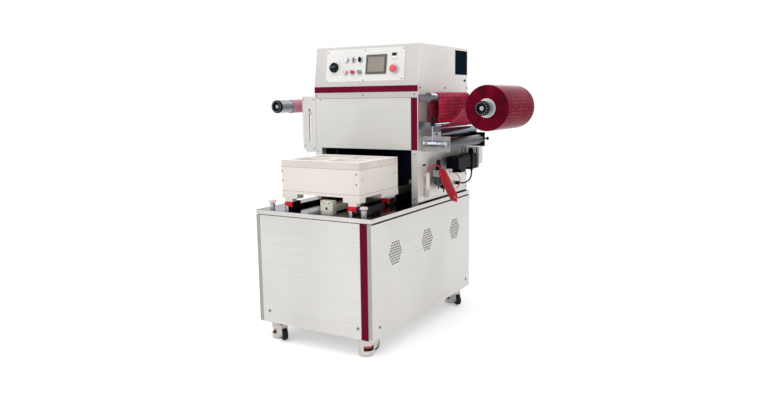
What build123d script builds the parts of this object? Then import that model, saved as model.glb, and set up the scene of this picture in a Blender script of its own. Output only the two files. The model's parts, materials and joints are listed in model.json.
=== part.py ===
# A free-standing tray sealing machine: a steel cabinet on levelling casters, a sealing head on its
# rear half, a die on a drawer that slides under the head, and the film unit on both sides of the head.
# Millimetres, +Z up. The machine is drawn with X = 0 on the cabinet's centre line, Y = 0 on the
# cabinet's front face and Z = 0 on the floor. The last lines move it so that the origin is at the
# middle of the overall box, on the floor.
import math
import os

from build123d import *

# Cabinet
cabinet_width = 700
cabinet_depth = 1160
cabinet_height = 600
caster_height = 95
sheet = 2
post_size = 22
floor_thickness = 6
table_thickness = 22
table_corner = 3
shadow_gap = 4
shadow_inset = 8
stripe_width = 40
stripe_edge = 24
stripe_proud = 1.5
stripe_thickness = 3.5
seat_gap = 0.3

# Vents in the right side: a hexagon of small hexagonal holes
vent_count = 3
vent_first_y = 230
vent_pitch = 354
vent_height = 397
vent_rings = 4
vent_hole = 9
vent_hole_pitch = 15.5

# Levelling casters
caster_inset_x = 76
caster_front_y = 60
caster_rear_inset = 98
caster_plate = 86
caster_plate_thickness = 5
caster_body_radius = 37.5
caster_body_top = 84
caster_body_bottom = 5
caster_window_turn = -104
caster_window_width = 64
caster_window_low = 28
caster_window_high = 54
caster_wall = 5
dial_radius = 30
dial_low = 28
dial_high = 54
pad_radius = 27
pad_thickness = 20
screw_radius = 8
wheel_radius = 29
wheel_width = 24
wheel_lift = 3
wheel_gap = 3
wheel_room = 5
cheek_thickness = 4
axle_radius = 5
pivot_radius = 16
# Direction of each wheel from its swivel, in degrees from +X
caster_angles = {"front_left": -30, "front_right": 85, "rear_left": 160, "rear_right": -34}

# Sealing head
head_step = 20
head_depth = 642
head_height = 843
head_lean = 35
head_sheet = 4
head_corner = 12
cover_sheet = 3
column_width = 36
column_depth = 40
cover_low = 287
cover_high = 562
cover_right_inset = 41
reveal = 1.5
band_width = 31
head_stripe_height = 33
trim_reveal = 1

# Film slots in the head's side walls
film_slot_inset = 87
film_slot_back_inset = 130
film_slot_right_low = 402
film_slot_left_low = 395
film_slot_height = 24

# Die on its drawer
die_width = 476
die_depth = 385
die_front = 80
die_underside = 81
die_height = 174
die_plate = 35
die_corner = 6
pocket_width = 186
pocket_depth_y = 140
pocket_depth = 26
pocket_corner = 16
pocket_web = 26
foot_step_width = 97
foot_width = 47
foot_step_height = 24
front_foot_step = 54
front_foot = 36
rear_foot_step = 175
rear_foot = 80

# Linear rails and carriages
rail_spacing = 390
rail_width = 20
rail_height = 20
rail_front = 62
rail_back_inset = 40
carriage_width = 46
carriage_length = 78
carriage_height = 40
carriage_lift = 3
cap_thickness = 7
rail_clearance = 0.3

# Cylinder that drives the drawer
drive_x = 66
end_block_width = 73
end_block_depth = 33
end_block_height = 66
barrel_width = 46
barrel_height = 46
drive_front = 45
drive_length = 960
shuttle_length = 80
shuttle_offset = 205

# Two-hand buttons at the table's front corners
palm_inset = 70
palm_y = 50
palm_collar_low = 12
palm_collar_high = 15
palm_collar_height = 30
palm_cap_radius = 20
palm_cap_height = 12
palm_stem_radius = 7
palm_travel = 4
palm_gap = 6

# Press in the head
press_side_gap = 45
press_inset = 92
press_back_inset = 100
press_height = 430
press_plate = 25
press_post_radius = 14
press_post_side = 23
press_post_inset = 26
tool_width = 460
tool_depth = 360
tool_gap = 20

# Control panel, in the slanted face's own frame: x across, s up the slope
panel_x = -5
panel_s = 116
panel_width = 500
panel_height = 178
panel_thickness = 2
screen_x = 71
screen_s = 116
screen_width = 127
screen_height = 104
screen_thickness = 7
screen_border = 11
screen_recess = 2
switch_x = -196
switch_s = 104
switch_width = 62
switch_height = 74
switch_plate = 5
switch_knob_radius = 27
switch_knob_height = 24
switch_grip_width = 12
device_columns = (-123, -78, -33)
device_row_high = 144
device_row_low = 77
collar_radius = 15
collar_height = 7
button_radius = 10.5
button_height = 6
button_gap = 4
selector_lever = 7
lamp_height = 8
rocker_x = 182
rocker_s = 158
rocker_width = 32
rocker_height = 34
rocker_thickness = 6
stop_x = 184
stop_s = 88
stop_ring_radius = 30
stop_ring_thickness = 2
stop_collar_radius = 15
stop_collar_height = 8
stop_neck_radius = 11
stop_cap_radius = 20
stop_cap_height = 13
stop_travel = 5
device_clearance = 0.3

# Film and its two shafts
film_inset = 97
film_back_inset = 140
film_thickness = 1
film_sag = 16
mandrel_radius = 37
mandrel_bore = 24
mandrel_cap = 9
unwind_reach = 345
unwind_height = 505
unwind_inset = 25
roll_radius = 117.5
rewind_reach = 260
rewind_height = 520
rewind_proud = 25
waste_thickness = 3
journal_radius = 20
bearing_radius = 48
bearing_length = 24
bearing_clearance = 0.1
hub_flange = 6
support_inset = 104
support_thickness = 12
support_half_height = 40

# Guide bars of the unwinding side
arm_inset = 13
arm_thickness = 8
bar_back_inset = 114
top_bar_reach = 50
top_bar_height = 564
top_bar_radius = 24
top_arm_reach = 105
top_arm_root = 33
top_arm_tip = 16.5
low_bar_reach = 85
low_bar_height = 418
low_bar_radius = 12.5
low_arm_reach = 96
low_arm_root = 40
low_arm_tip = 22
inner_ply_reach = 18

# Feed rollers with their end plates
nip_inset = 37
nip_plate = 8
nip_back_inset = 122
nip_bottom = 280
nip_top = 360
nip_reach = 166
feed_reach = 138
feed_height = 321
feed_radius = 27
feed_end_gap = 5
guide_roller_reach = 90
guide_roller_height = 372
guide_roller_radius = 26
guide_ear_half = 24
pin_radius = 8
pin_clearance = 0.1

# Clamp lever on the front end plate
lever_proud = 4
lever_height = 323
lever_shaft_radius = 9
lever_boss_radius = 15
lever_left_reach = 49
lever_right_reach = 155
lug_thickness = 10
lug_radius = 17
lever_rod_reach = 87
lever_rod_radius = 3.5
lever_rod_length = 92
lever_grip_radius = 9.5
lever_grip_length = 54

# Slotted rear plate with the gearmotor
rear_plate_inset = 114
rear_plate_thickness = 4
rear_plate_reach = 126
rear_plate_low = 151
rear_plate_high = 276
rear_plate_corner = 12
rear_flange = 50
rear_slots = ((18, 7), (38, 7), (109, 6))
rear_slot_low = 196
rear_slot_high = 266
shaft_slot_reach = 74
shaft_slot_width = 32
shaft_slot_high = 268
motor_reach = 70
motor_gland_offset = 25
motor_height = 192
motor_width = 76
motor_rise = 44
motor_drop = 27
motor_corner = 20
motor_length = 182
gearhead_side = 90
gearhead_length = 64
gearhead_corner = 14
motor_box_width = 54
motor_box_depth = 66
motor_box_front = 55
motor_box_drop = 25
motor_gland = 10

# Compressed air fittings on the head's right side
regulator_gap = 17
regulator_x = 36
regulator_body = 50
regulator_low = 135
regulator_high = 168
regulator_corner = 6
bowl_radius = 26
bowl_height = 51
bowl_pitch = 68
second_bowl_radius = 25
second_bowl_height = 77
bowl_corner = 10
drain_radius = 4
drain_height = 20
knob_radius = 12
knob_height = 34
neck_radius = 15
neck_height = 22
meter_gap = 93
meter_x = 17
meter_low = 29
meter_high = 161
meter_radius = 11
meter_block = 42
meter_valve_radius = 7
meter_valve_length = 18
meter_foot = 8

# Left side: plates with a slot for the tension roller
slot_plate_width = 90
slot_plate_thickness = 4
slot_plate_low = 258
slot_plate_high = 576
slot_plate_chamfer = 26
slot_reach = 41
slot_width = 11
slot_low = 316
slot_high = 508
tension_height = 484
tension_radius = 14
tension_pin_radius = 5
tension_end_gap = 6
tension_collar = 9

# Hoses and cable
hose_radius = 3
cable_radius = 4.5
hank_radius = 21
hank_length = 206
hank_corner = 12
gland_radius = 11
gland_length = 24
port_length = 14

# Derived places
wheel_offset = caster_body_radius + wheel_radius + wheel_room
table_z = caster_height + cabinet_height
half_width = cabinet_width / 2
half_head = half_width - head_step
head_width = 2 * half_head
head_front = cabinet_depth - head_depth
caster_rear_y = cabinet_depth - caster_rear_inset
film_slot_front = head_front + film_slot_inset
film_front = head_front + film_inset
press_front = head_front + press_inset
unwind_front = head_front + unwind_inset
rewind_front = head_front - rewind_proud
arm_y = head_front + arm_inset
nip_front = head_front + nip_inset
lever_y = head_front - lever_proud
film_slot_back = cabinet_depth - film_slot_back_inset
film_back = cabinet_depth - film_back_inset
rail_back = cabinet_depth - rail_back_inset
press_back = cabinet_depth - press_back_inset
support_y = cabinet_depth - support_inset
bar_back = cabinet_depth - bar_back_inset
nip_back = cabinet_depth - nip_back_inset
rear_plate_y = cabinet_depth - rear_plate_inset
palm_x = half_width - palm_inset
press_half = half_head - press_side_gap
press_post_x = press_half - press_post_side
unwind_x = half_head + unwind_reach
rewind_x = -half_head - rewind_reach
top_bar_x = half_head + top_bar_reach
low_bar_x = half_head + low_bar_reach
nip_right = half_head + nip_reach
feed_x = half_head + feed_reach
guide_roller_x = half_head + guide_roller_reach
lever_left = half_head + lever_left_reach
lever_right = half_head + lever_right_reach
lever_rod_x = half_head + lever_rod_reach
rear_plate_right = half_head + rear_plate_reach
shaft_slot_x = half_head + shaft_slot_reach
motor_x = half_head + motor_reach
motor_front_y = rear_plate_y - gearhead_length - motor_length
second_bowl_y = motor_front_y - regulator_gap - regulator_body / 2
regulator_y = second_bowl_y - bowl_pitch
meter_y = regulator_y - meter_gap
slot_x = -half_head - slot_reach
panel_top = table_z - table_thickness - shadow_gap
fold_z = table_z + cover_high + reveal + band_width + head_stripe_height
head_top = table_z + head_height
die_bottom = table_z + die_underside
die_top = die_bottom + die_height
drawer_back = die_front + die_depth
lean_angle = math.degrees(math.atan2(head_lean, head_top - fold_z))
face_plane = Plane(
    origin=(0, head_front, fold_z),
    x_dir=(1, 0, 0),
    z_dir=(0, -math.cos(math.radians(lean_angle)), math.sin(math.radians(lean_angle))),
)


def block(x, y, z):
    """A box from three (low, high) pairs."""
    sizes = [high - low for low, high in (x, y, z)]
    return Pos(x[0], y[0], z[0]) * Box(*sizes, align=(Align.MIN, Align.MIN, Align.MIN))


def bar(axis, place, span, radius):
    """A round bar along axis; place gives the other two coordinates in X, Y, Z order."""
    length = span[1] - span[0]
    shape = Cylinder(radius, length, align=(Align.CENTER, Align.CENTER, Align.MIN))
    if axis == "X":
        return Pos(span[0], place[0], place[1]) * Rot(0, 90, 0) * shape
    if axis == "Y":
        return Pos(place[0], span[0], place[1]) * Rot(-90, 0, 0) * shape
    return Pos(place[0], place[1], span[0]) * shape


def outline_xz(points, y_low, y_high):
    """A flat plate across Y from an outline in X and Z."""
    return extrude(Plane.XZ.offset(-y_high) * make_face(Polyline(*points, close=True)), y_high - y_low)


def outline_yz(points, x_low, x_high):
    """A flat plate across X from an outline in Y and Z."""
    return extrude(Plane.YZ.offset(x_low) * make_face(Polyline(*points, close=True)), x_high - x_low)


def turned(profile):
    """A turned piece about Y from (radius, y) points."""
    face = make_face(Plane.XY * Polyline(*profile, close=True))
    return revolve(face, Axis.Y)


def on_face(shape, x, s):
    """Put a shape drawn at the origin onto the slanted face."""
    return face_plane.location * Pos(x, s, 0) * shape


# Cabinet


def corner_posts():
    inner = half_width - sheet
    low = caster_height + floor_thickness
    posts = []
    for side in (-1, 1):
        x = sorted((side * inner, side * (inner - post_size)))
        posts.append(block(x, (0, post_size), (low, panel_top)))
        posts.append(block(x, (cabinet_depth - post_size, cabinet_depth), (low, panel_top)))
    return Compound(posts)


def base_panels():
    """Front, back, left and vented right panel: none touches another."""
    inner = half_width - sheet - post_size
    height = (caster_height, panel_top)
    front_right = half_width - stripe_edge - stripe_width
    front = block((-inner, front_right), (0, sheet), height)
    back = block((-inner, inner), (cabinet_depth - sheet, cabinet_depth), height)
    left = block((-half_width, sheet - half_width), (0, cabinet_depth), height)
    return Compound([front, back, left, vent_panel()])


def vent_panel():
    panel = block((half_width - sheet, half_width), (0, cabinet_depth), (caster_height, panel_top))
    cutters = []
    row_height = vent_hole_pitch * math.sin(math.radians(60))
    for index in range(vent_count):
        y_middle = vent_first_y + index * vent_pitch
        for row in range(-vent_rings, vent_rings + 1):
            holes = 2 * vent_rings + 1 - abs(row)
            for number in range(holes):
                y = y_middle + (number - (holes - 1) / 2) * vent_hole_pitch
                z = caster_height + vent_height + row * row_height
                cutters.append(Pos(y, z) * RegularPolygon(vent_hole / math.sqrt(3), 6))
    holes = extrude(Plane.YZ.offset(half_width - 2 * sheet) * Sketch(cutters), 4 * sheet)
    return panel - holes


def base_floor():
    inner = half_width - sheet
    plate = block((-inner, inner), (sheet, cabinet_depth - sheet), (0, floor_thickness))
    plate = Pos(0, 0, caster_height) * plate
    for x, y in caster_places().values():
        low = caster_height - caster_plate_thickness
        half = caster_plate / 2
        plate += block((x - half, x + half), (y - half, y + half), (low, caster_height))
    return plate


def table_top():
    low = table_z - table_thickness
    top = block((-half_width, half_width), (0, cabinet_depth), (low, table_z))
    top = fillet(top.edges().filter_by(Axis.Z), table_corner)
    inner = half_width - shadow_inset
    rim = block((-inner, inner), (shadow_inset, cabinet_depth - shadow_inset), (panel_top, low))
    return top + rim


def trim_stripes():
    base_right = half_width - stripe_edge
    proud = -stripe_proud
    base = block(
        (base_right - stripe_width, base_right), (proud, proud + stripe_thickness), (caster_height, panel_top)
    )
    head_right = half_head - head_sheet
    upright = block(
        (half_head - cover_right_inset, head_right),
        (head_front - trim_reveal, head_front + cover_sheet),
        (table_z + cover_low, table_z + cover_high),
    )
    band_low = table_z + cover_high + reveal + band_width
    across = block((-half_head, half_head), (head_front - trim_reveal, head_front), (band_low, fold_z))
    return Compound([base, upright, across])


# Casters


def caster_places():
    """Swivel axis of each caster."""
    x = half_width - caster_inset_x
    return {
        "front_left": (-x, caster_front_y),
        "front_right": (x, caster_front_y),
        "rear_left": (-x, caster_rear_y),
        "rear_right": (x, caster_rear_y),
    }


def place_caster(shape, corner):
    x, y = caster_places()[corner]
    return Pos(x, y, 0) * Rot(0, 0, caster_angles[corner]) * shape


def caster_frame():
    """Cast body round the levelling foot, with the fork for the wheel on its +X side."""
    width = wheel_width / 2 + wheel_gap + cheek_thickness
    shell = bar("Z", (0, 0), (caster_body_bottom, caster_body_top), caster_body_radius)
    shell -= bar("Z", (0, 0), (0, caster_body_top - caster_wall), caster_body_radius - caster_wall)
    window = block(
        (0, 2 * caster_body_radius),
        (-caster_window_width / 2, caster_window_width / 2),
        (caster_window_low, caster_window_high),
    )
    shell -= Rot(0, 0, caster_window_turn) * window
    cheek_top = caster_body_top
    wheel_z = wheel_radius + wheel_lift
    reach = wheel_offset + 2 * axle_radius
    root = math.sqrt(caster_body_radius**2 - width**2)
    outline = [
        (root - caster_wall / 2, caster_body_bottom + caster_wall),
        (wheel_offset - axle_radius, wheel_z - 2 * axle_radius),
        (reach, wheel_z - axle_radius),
        (reach, wheel_z + 2 * axle_radius),
        (wheel_offset, cheek_top),
        (root - caster_wall / 2, cheek_top),
    ]
    for side in (-1, 1):
        y = sorted((side * width, side * (width - cheek_thickness)))
        shell += outline_xz(outline, *y)
    roof_low = wheel_z + wheel_radius + wheel_room
    shell += block((root - caster_wall / 2, wheel_offset), (-width, width), (roof_low, caster_body_top))
    shell -= bar("Y", (wheel_offset, wheel_z), (-width, width), axle_radius)
    shell += bar("Z", (0, 0), (pad_thickness, caster_body_top), screw_radius)
    shell += bar("Z", (0, 0), (dial_low, dial_high), dial_radius)
    shell += bar("Z", (0, 0), (0, pad_thickness), pad_radius)
    stem_top = caster_height - caster_plate_thickness - seat_gap
    shell += bar("Z", (0, 0), (caster_body_top, stem_top), pivot_radius)
    return shell


def caster_wheel():
    width = wheel_width / 2
    wheel_z = wheel_radius + wheel_lift
    tread = bar("Y", (0, 0), (-width, width), wheel_radius)
    tread = chamfer(tread.edges().filter_by(GeomType.CIRCLE), 3)
    axle_half = width + wheel_gap + cheek_thickness
    axle = bar("Y", (0, 0), (-axle_half, axle_half), axle_radius - device_clearance / 3)
    return Pos(wheel_offset, 0, wheel_z) * (tread + axle)


# Drawer with the die


def slide_rails():
    rails = []
    for side in (-1, 1):
        x = side * rail_spacing / 2
        half = rail_width / 2
        rail = block((x - half, x + half), (rail_front, rail_back), (0, rail_height))
        groove = rail_width / 8
        for edge in (-1, 1):
            middle = x + edge * half
            rail -= block(
                (middle - groove, middle + groove),
                (rail_front, rail_back),
                (rail_height / 2 - groove, rail_height / 2 + groove),
            )
        rails.append(Pos(0, 0, table_z) * rail)
    return Compound(rails)


def carriage(x, y_front):
    """One block on a rail: its cap ends stand a little narrower than the body."""
    half = carriage_width / 2
    cap_half = half - 1
    y_back = y_front + carriage_length
    low = table_z + carriage_lift
    high = table_z + carriage_height
    body = block((x - half, x + half), (y_front + cap_thickness, y_back - cap_thickness), (low, high))
    body += block((x - cap_half, x + cap_half), (y_front, y_back), (low, high - 1))
    slot_half = rail_width / 2 + rail_clearance
    slot_high = table_z + rail_height + rail_clearance
    body -= block((x - slot_half, x + slot_half), (y_front, y_back), (table_z, slot_high))
    return body


def carriage_fronts():
    front = die_front - cap_thickness
    return front, drawer_back - carriage_length + cap_thickness


def die_carriages():
    parts = [carriage(side * rail_spacing / 2, y) for side in (-1, 1) for y in carriage_fronts()]
    half = barrel_width / 2 - 3
    y_low = die_front + shuttle_offset
    low = table_z + barrel_height + seat_gap
    parts.append(block((drive_x - half, drive_x + half), (y_low, y_low + shuttle_length), (low, die_bottom)))
    return Compound(parts)


def die_body():
    half = die_width / 2
    high = die_top - die_plate
    body = block((-half, half), (die_front, drawer_back), (die_bottom, high))
    body = fillet(body.edges().filter_by(Axis.Z), die_corner)
    step_low = die_bottom - foot_step_height
    foot_low = table_z + carriage_height
    for side in (-1, 1):
        step_x = sorted((side * half, side * (half - foot_step_width)))
        middle = side * rail_spacing / 2
        foot_x = (middle - foot_width / 2, middle + foot_width / 2)
        body += block(step_x, (die_front, die_front + front_foot_step), (step_low, die_bottom))
        body += block(foot_x, (die_front, die_front + front_foot), (foot_low, step_low))
        body += block(step_x, (drawer_back - rear_foot_step, drawer_back), (step_low, die_bottom))
        body += block(foot_x, (drawer_back - rear_foot, drawer_back), (foot_low, step_low))
    return body


def pocket_centres():
    middle_y = die_front + die_depth / 2
    dx = (pocket_width + pocket_web) / 2
    dy = (pocket_depth_y + pocket_web) / 2
    return [(x, middle_y + y) for x in (-dx, dx) for y in (-dy, dy)]


def die_top_plate():
    half = die_width / 2
    plate = block((-half, half), (die_front, drawer_back), (die_top - die_plate, die_top))
    plate = fillet(plate.edges().filter_by(Axis.Z), die_corner)
    low = die_top - pocket_depth
    for x, y in pocket_centres():
        pocket = block(
            (x - pocket_width / 2, x + pocket_width / 2),
            (y - pocket_depth_y / 2, y + pocket_depth_y / 2),
            (low, die_top),
        )
        plate -= fillet(pocket.edges().filter_by(Axis.Z), pocket_corner)
    return plate


def drive_cylinder():
    half = end_block_width / 2
    bar_half = barrel_width / 2
    back = drive_front + drive_length
    ends = []
    for y in (drive_front, back - end_block_depth):
        ends.append(block((drive_x - half, drive_x + half), (y, y + end_block_depth), (0, end_block_height)))
    low = (end_block_height - barrel_height) / 4
    barrel = block(
        (drive_x - bar_half, drive_x + bar_half),
        (drive_front + end_block_depth, back - end_block_depth),
        (low, barrel_height),
    )
    barrel = fillet(barrel.edges().filter_by(Axis.Y), barrel_width / 8)
    return Pos(0, 0, table_z) * (ends[0] + barrel + ends[1])


# Two-hand buttons


def button_collars():
    collars = []
    for side in (-1, 1):
        cone = Cone(
            palm_collar_low,
            palm_collar_high,
            palm_collar_height,
            align=(Align.CENTER, Align.CENTER, Align.MIN),
        )
        well = palm_stem_radius + device_clearance
        cone -= bar("Z", (0, 0), (palm_collar_height / 3, palm_collar_height), well)
        collars.append(Pos(side * palm_x, palm_y, table_z) * cone)
    return Compound(collars)


def palm_button(side):
    low = palm_collar_height + palm_gap
    cap = bar("Z", (0, 0), (low, low + palm_cap_height), palm_cap_radius)
    cap = chamfer(cap.edges().filter_by(GeomType.CIRCLE).sort_by(Axis.Z)[-1], palm_cap_height / 3)
    stem = bar("Z", (0, 0), (palm_collar_height / 3 + palm_travel + seat_gap, low), palm_stem_radius)
    return Pos(side * palm_x, palm_y, table_z) * (cap + stem)


# Sealing head


def head_profile(inset):
    """Side outline of the head, drawn in from the outside by inset."""
    slope = math.radians(lean_angle)
    top = head_top - inset
    front = head_front + inset
    back = cabinet_depth - inset
    shift = inset / math.cos(slope)
    low_corner = fold_z - shift * math.tan(slope / 2)
    top_front = head_front + shift + (top - fold_z) * math.tan(slope)
    return front, back, top, low_corner, top_front


def head_wall(side, slot_low):
    front, back, top, low_corner, top_front = head_profile(0)
    points = [(front, table_z), (front, low_corner), (top_front, top), (back, top), (back, table_z)]
    x = sorted((side * half_head, side * (half_head - head_sheet)))
    wall = outline_yz(points, *x)
    corner = wall.edges().filter_by(Axis.X).group_by(Axis.Z)[-1].sort_by(Axis.Y)[-1]
    wall = fillet(corner, head_corner)
    low = table_z + slot_low
    wall -= block((x[0], x[1]), (film_slot_front, film_slot_back), (low, low + film_slot_height))
    return wall


def head_cover():
    """Top and back in one folded sheet."""
    front, back, top, low_corner, top_front = head_profile(0)
    outer = outline_yz([(top_front, table_z), (top_front, top), (back, top), (back, table_z)], 0, 1)
    outer = fillet(outer.edges().filter_by(Axis.X).group_by(Axis.Z)[-1].sort_by(Axis.Y)[-1], head_corner)
    back_in = back - cover_sheet
    top_in = top - cover_sheet
    inner_points = [(top_front, table_z), (top_front, top_in), (back_in, top_in), (back_in, table_z)]
    inner = outline_yz(inner_points, 0, 1)
    round_in = head_corner - cover_sheet
    inner = fillet(inner.edges().filter_by(Axis.X).group_by(Axis.Z)[-1].sort_by(Axis.Y)[-1], round_in)
    shell = outer - inner
    width = head_width - 2 * head_sheet
    section = shell.faces().sort_by(Axis.X)[0]
    return Pos(-width / 2, 0, 0) * extrude(section, width, dir=(1, 0, 0))


def control_fascia():
    """Bottom band and slanted face in one folded sheet, with a flange under the head's top."""
    slope = math.radians(lean_angle)
    low = table_z + cover_high + reveal
    front = head_front
    inner = head_front + cover_sheet
    shift = cover_sheet / math.cos(slope)
    inner_fold = fold_z - cover_sheet * math.tan(slope / 2)
    top = head_top
    tip = head_front + (top - fold_z) * math.tan(slope)
    inner_top = top - cover_sheet
    tip_in = head_front + shift + (inner_top - fold_z) * math.tan(slope)
    points = [(front, low), (front, fold_z), (tip, top), (tip, inner_top), (tip_in, inner_top)]
    points += [(inner, inner_fold), (inner, low)]
    half = half_head - head_sheet
    return outline_yz(points, -half, half)


def front_cover():
    x = (head_sheet - half_head, half_head - cover_right_inset)
    z = (table_z + cover_low, table_z + cover_high)
    return block(x, (head_front, head_front + cover_sheet), z)


def front_columns():
    columns = []
    for side in (-1, 1):
        outer = side * (half_head - head_sheet)
        x = sorted((outer, outer - side * column_width))
        y = (head_front + cover_sheet, head_front + cover_sheet + column_depth)
        foot = block(x, (head_front, y[1]), (table_z, table_z + cover_low))
        tall = block(x, y, (table_z + cover_low, table_z + cover_high + reveal))
        columns.append(foot + tall)
    return Compound(columns)


def press_frame():
    half = press_half
    low = table_z + press_height
    frame = block((-half, half), (press_front, press_back), (low, low + press_plate))
    for x in (-press_post_x, press_post_x):
        for y in (press_front + press_post_inset, press_back - press_post_inset):
            frame += bar("Z", (x, y), (table_z, low), press_post_radius)
    return frame


def upper_tool():
    half = tool_width / 2
    middle = (press_front + press_back) / 2
    y = (middle - tool_depth / 2, middle + tool_depth / 2)
    low = die_top + tool_gap
    step = low + (table_z + press_height - low) / 2
    inset = 25
    tool = block((-half, half), y, (low, step))
    upper_z = (step, table_z + press_height)
    return tool + block((inset - half, half - inset), (y[0] + inset, y[1] - inset), upper_z)


# Control panel


def control_plate():
    plate = Box(panel_width, panel_height, panel_thickness, align=(Align.CENTER, Align.CENTER, Align.MIN))
    return on_face(plate, panel_x, panel_s)


def touch_panel():
    bezel = Box(screen_width, screen_height, screen_thickness, align=(Align.CENTER, Align.CENTER, Align.MIN))
    bezel = chamfer(bezel.faces().sort_by(Axis.Z)[-1].edges(), screen_recess)
    glass = Box(
        screen_width - 2 * screen_border,
        screen_height - 2 * screen_border,
        2 * screen_recess,
    )
    bezel -= Pos(0, 0, screen_thickness) * glass
    return on_face(Pos(0, 0, panel_thickness) * bezel, screen_x, screen_s)


def ring(outer, inner, low, high):
    return bar("Z", (0, 0), (low, high), outer) - bar("Z", (0, 0), (low, high), inner)


def control_collars():
    """Fixed rings, base plates, the lamps' lenses and the rocker switch."""
    face = panel_thickness
    parts = []
    well = button_radius + device_clearance
    for s in (device_row_high, device_row_low):
        for x in device_columns:
            collar = ring(collar_radius, well, face, face + collar_height)
            if (x, s) == (device_columns[0], device_row_low):
                collar += bar("Z", (0, 0), (face, face + collar_height + lamp_height), well)
            parts.append(on_face(collar, x, s))
    base = Box(switch_width, switch_height, switch_plate, align=(Align.CENTER, Align.CENTER, Align.MIN))
    parts.append(on_face(Pos(0, 0, face) * base, switch_x, switch_s))
    rocker = Box(rocker_width, rocker_height, rocker_thickness, align=(Align.CENTER, Align.CENTER, Align.MIN))
    rocker = chamfer(rocker.faces().sort_by(Axis.Z)[-1].edges(), 1.5)
    parts.append(on_face(Pos(0, 0, face) * rocker, rocker_x, rocker_s))
    well = stop_neck_radius + device_clearance
    stop = ring(stop_ring_radius, well, face, face + stop_ring_thickness)
    stop += ring(stop_collar_radius, well, face, face + stop_collar_height)
    parts.append(on_face(stop, stop_x, stop_s))
    return Compound(parts)


def main_switch_knob():
    low = panel_thickness + switch_plate + seat_gap
    knob = bar("Z", (0, 0), (low, low + switch_knob_height / 2), switch_knob_radius)
    grip = Box(
        switch_grip_width,
        2 * switch_knob_radius - switch_grip_width,
        switch_knob_height / 2,
        align=(Align.CENTER, Align.CENTER, Align.MIN),
    )
    grip = fillet(grip.edges().filter_by(Axis.Z), switch_grip_width / 3)
    knob += Pos(0, 0, low + switch_knob_height / 2) * Rot(0, 0, 90) * grip
    return on_face(knob, switch_x, switch_s)


def push_button(x, s):
    low = panel_thickness + button_gap
    high = panel_thickness + collar_height + button_height
    return on_face(bar("Z", (0, 0), (low, high), button_radius), x, s)


def selector(x, s):
    low = panel_thickness + seat_gap
    high = panel_thickness + collar_height + 1
    body = bar("Z", (0, 0), (low, high), button_radius)
    lever = Box(selector_lever, 2 * button_radius + 6, 9, align=(Align.CENTER, Align.CENTER, Align.MIN))
    lever = fillet(lever.edges().filter_by(Axis.Z), selector_lever / 3)
    return on_face(body + Pos(0, 0, high) * lever, x, s)


def stop_button():
    low = panel_thickness + stop_travel + seat_gap
    neck_high = panel_thickness + stop_collar_height + stop_travel + seat_gap
    neck = bar("Z", (0, 0), (low, neck_high), stop_neck_radius)
    cap = bar("Z", (0, 0), (neck_high, neck_high + stop_cap_height), stop_cap_radius)
    cap = chamfer(cap.edges().filter_by(GeomType.CIRCLE).sort_by(Axis.Z)[-1], stop_cap_height / 2)
    return on_face(neck + cap, stop_x, stop_s)


# Unwinding and rewinding shafts


def mandrel(front, back, height, x):
    """Air shaft: hollow nose, body, flange behind the film and a journal in the bearing."""
    radius = mandrel_radius
    profile = [
        (0, front + mandrel_cap),
        (mandrel_bore, front + mandrel_cap),
        (mandrel_bore, front),
        (radius - 2, front),
        (radius, front + 2),
        (radius, film_back + seat_gap),
        (radius + hub_flange, film_back + seat_gap),
        (radius + hub_flange, film_back + 2 * hub_flange),
        (journal_radius, film_back + 2 * hub_flange),
        (journal_radius, back),
        (0, back),
    ]
    return Pos(x, 0, table_z + height) * turned(profile)


def unwind_shaft():
    return mandrel(unwind_front, support_y + bearing_length, unwind_height, unwind_x)


def rewind_shaft():
    return mandrel(rewind_front, support_y + bearing_length, rewind_height, rewind_x)


def film_roll():
    place = (unwind_x, table_z + unwind_height)
    roll = bar("Y", place, (film_front, film_back), roll_radius)
    return roll - bar("Y", place, (film_front, film_back), mandrel_radius)


def waste_film():
    place = (rewind_x, table_z + rewind_height)
    roll = bar("Y", place, (film_front, film_back), mandrel_radius + waste_thickness)
    return roll - bar("Y", place, (film_front, film_back), mandrel_radius)


def shaft_support(side, x, height):
    """Arm from the head's wall with the bearing at its end."""
    z = table_z + height
    root = side * half_head
    y = (support_y, support_y + support_thickness)
    tall = support_half_height + 25
    points = [(root, z - tall), (x, z - support_half_height), (x, z + support_half_height), (root, z + tall)]
    arm = outline_xz(points, *y)
    arm += bar("Y", (x, z), (support_y - bearing_length / 3, support_y + bearing_length), bearing_radius)
    bore = journal_radius + bearing_clearance
    return arm - bar("Y", (x, z), (film_back, support_y + 2 * bearing_length), bore)


def shaft_supports():
    right = shaft_support(1, unwind_x, unwind_height)
    left = shaft_support(-1, rewind_x, rewind_height)
    return Compound([right, left])


# Film guides on the right


def film_guides():
    """Two fixed bars, each between two tapered arms."""
    top = guide_bar((top_bar_x, top_bar_height), top_bar_radius, top_arm_reach, top_arm_root, top_arm_tip)
    low = guide_bar((low_bar_x, low_bar_height), low_bar_radius, low_arm_reach, low_arm_root, low_arm_tip)
    return Compound([top, low])


def guide_bar(place, radius, reach, root, tip):
    """A bar at (x, height) with its arms; root and tip are the arms' heights, reach is from the wall."""
    x, height = place
    z = table_z + height
    outline = [
        (half_head, z - root / 2),
        (half_head + reach, z - tip / 2),
        (half_head + reach, z + tip / 2),
        (half_head, z + root / 2),
    ]
    guide = bar("Y", (x, z), (arm_y + arm_thickness, bar_back - arm_thickness), radius)
    guide += outline_xz(outline, arm_y, arm_y + arm_thickness)
    return guide + outline_xz(outline, bar_back - arm_thickness, bar_back)


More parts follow.
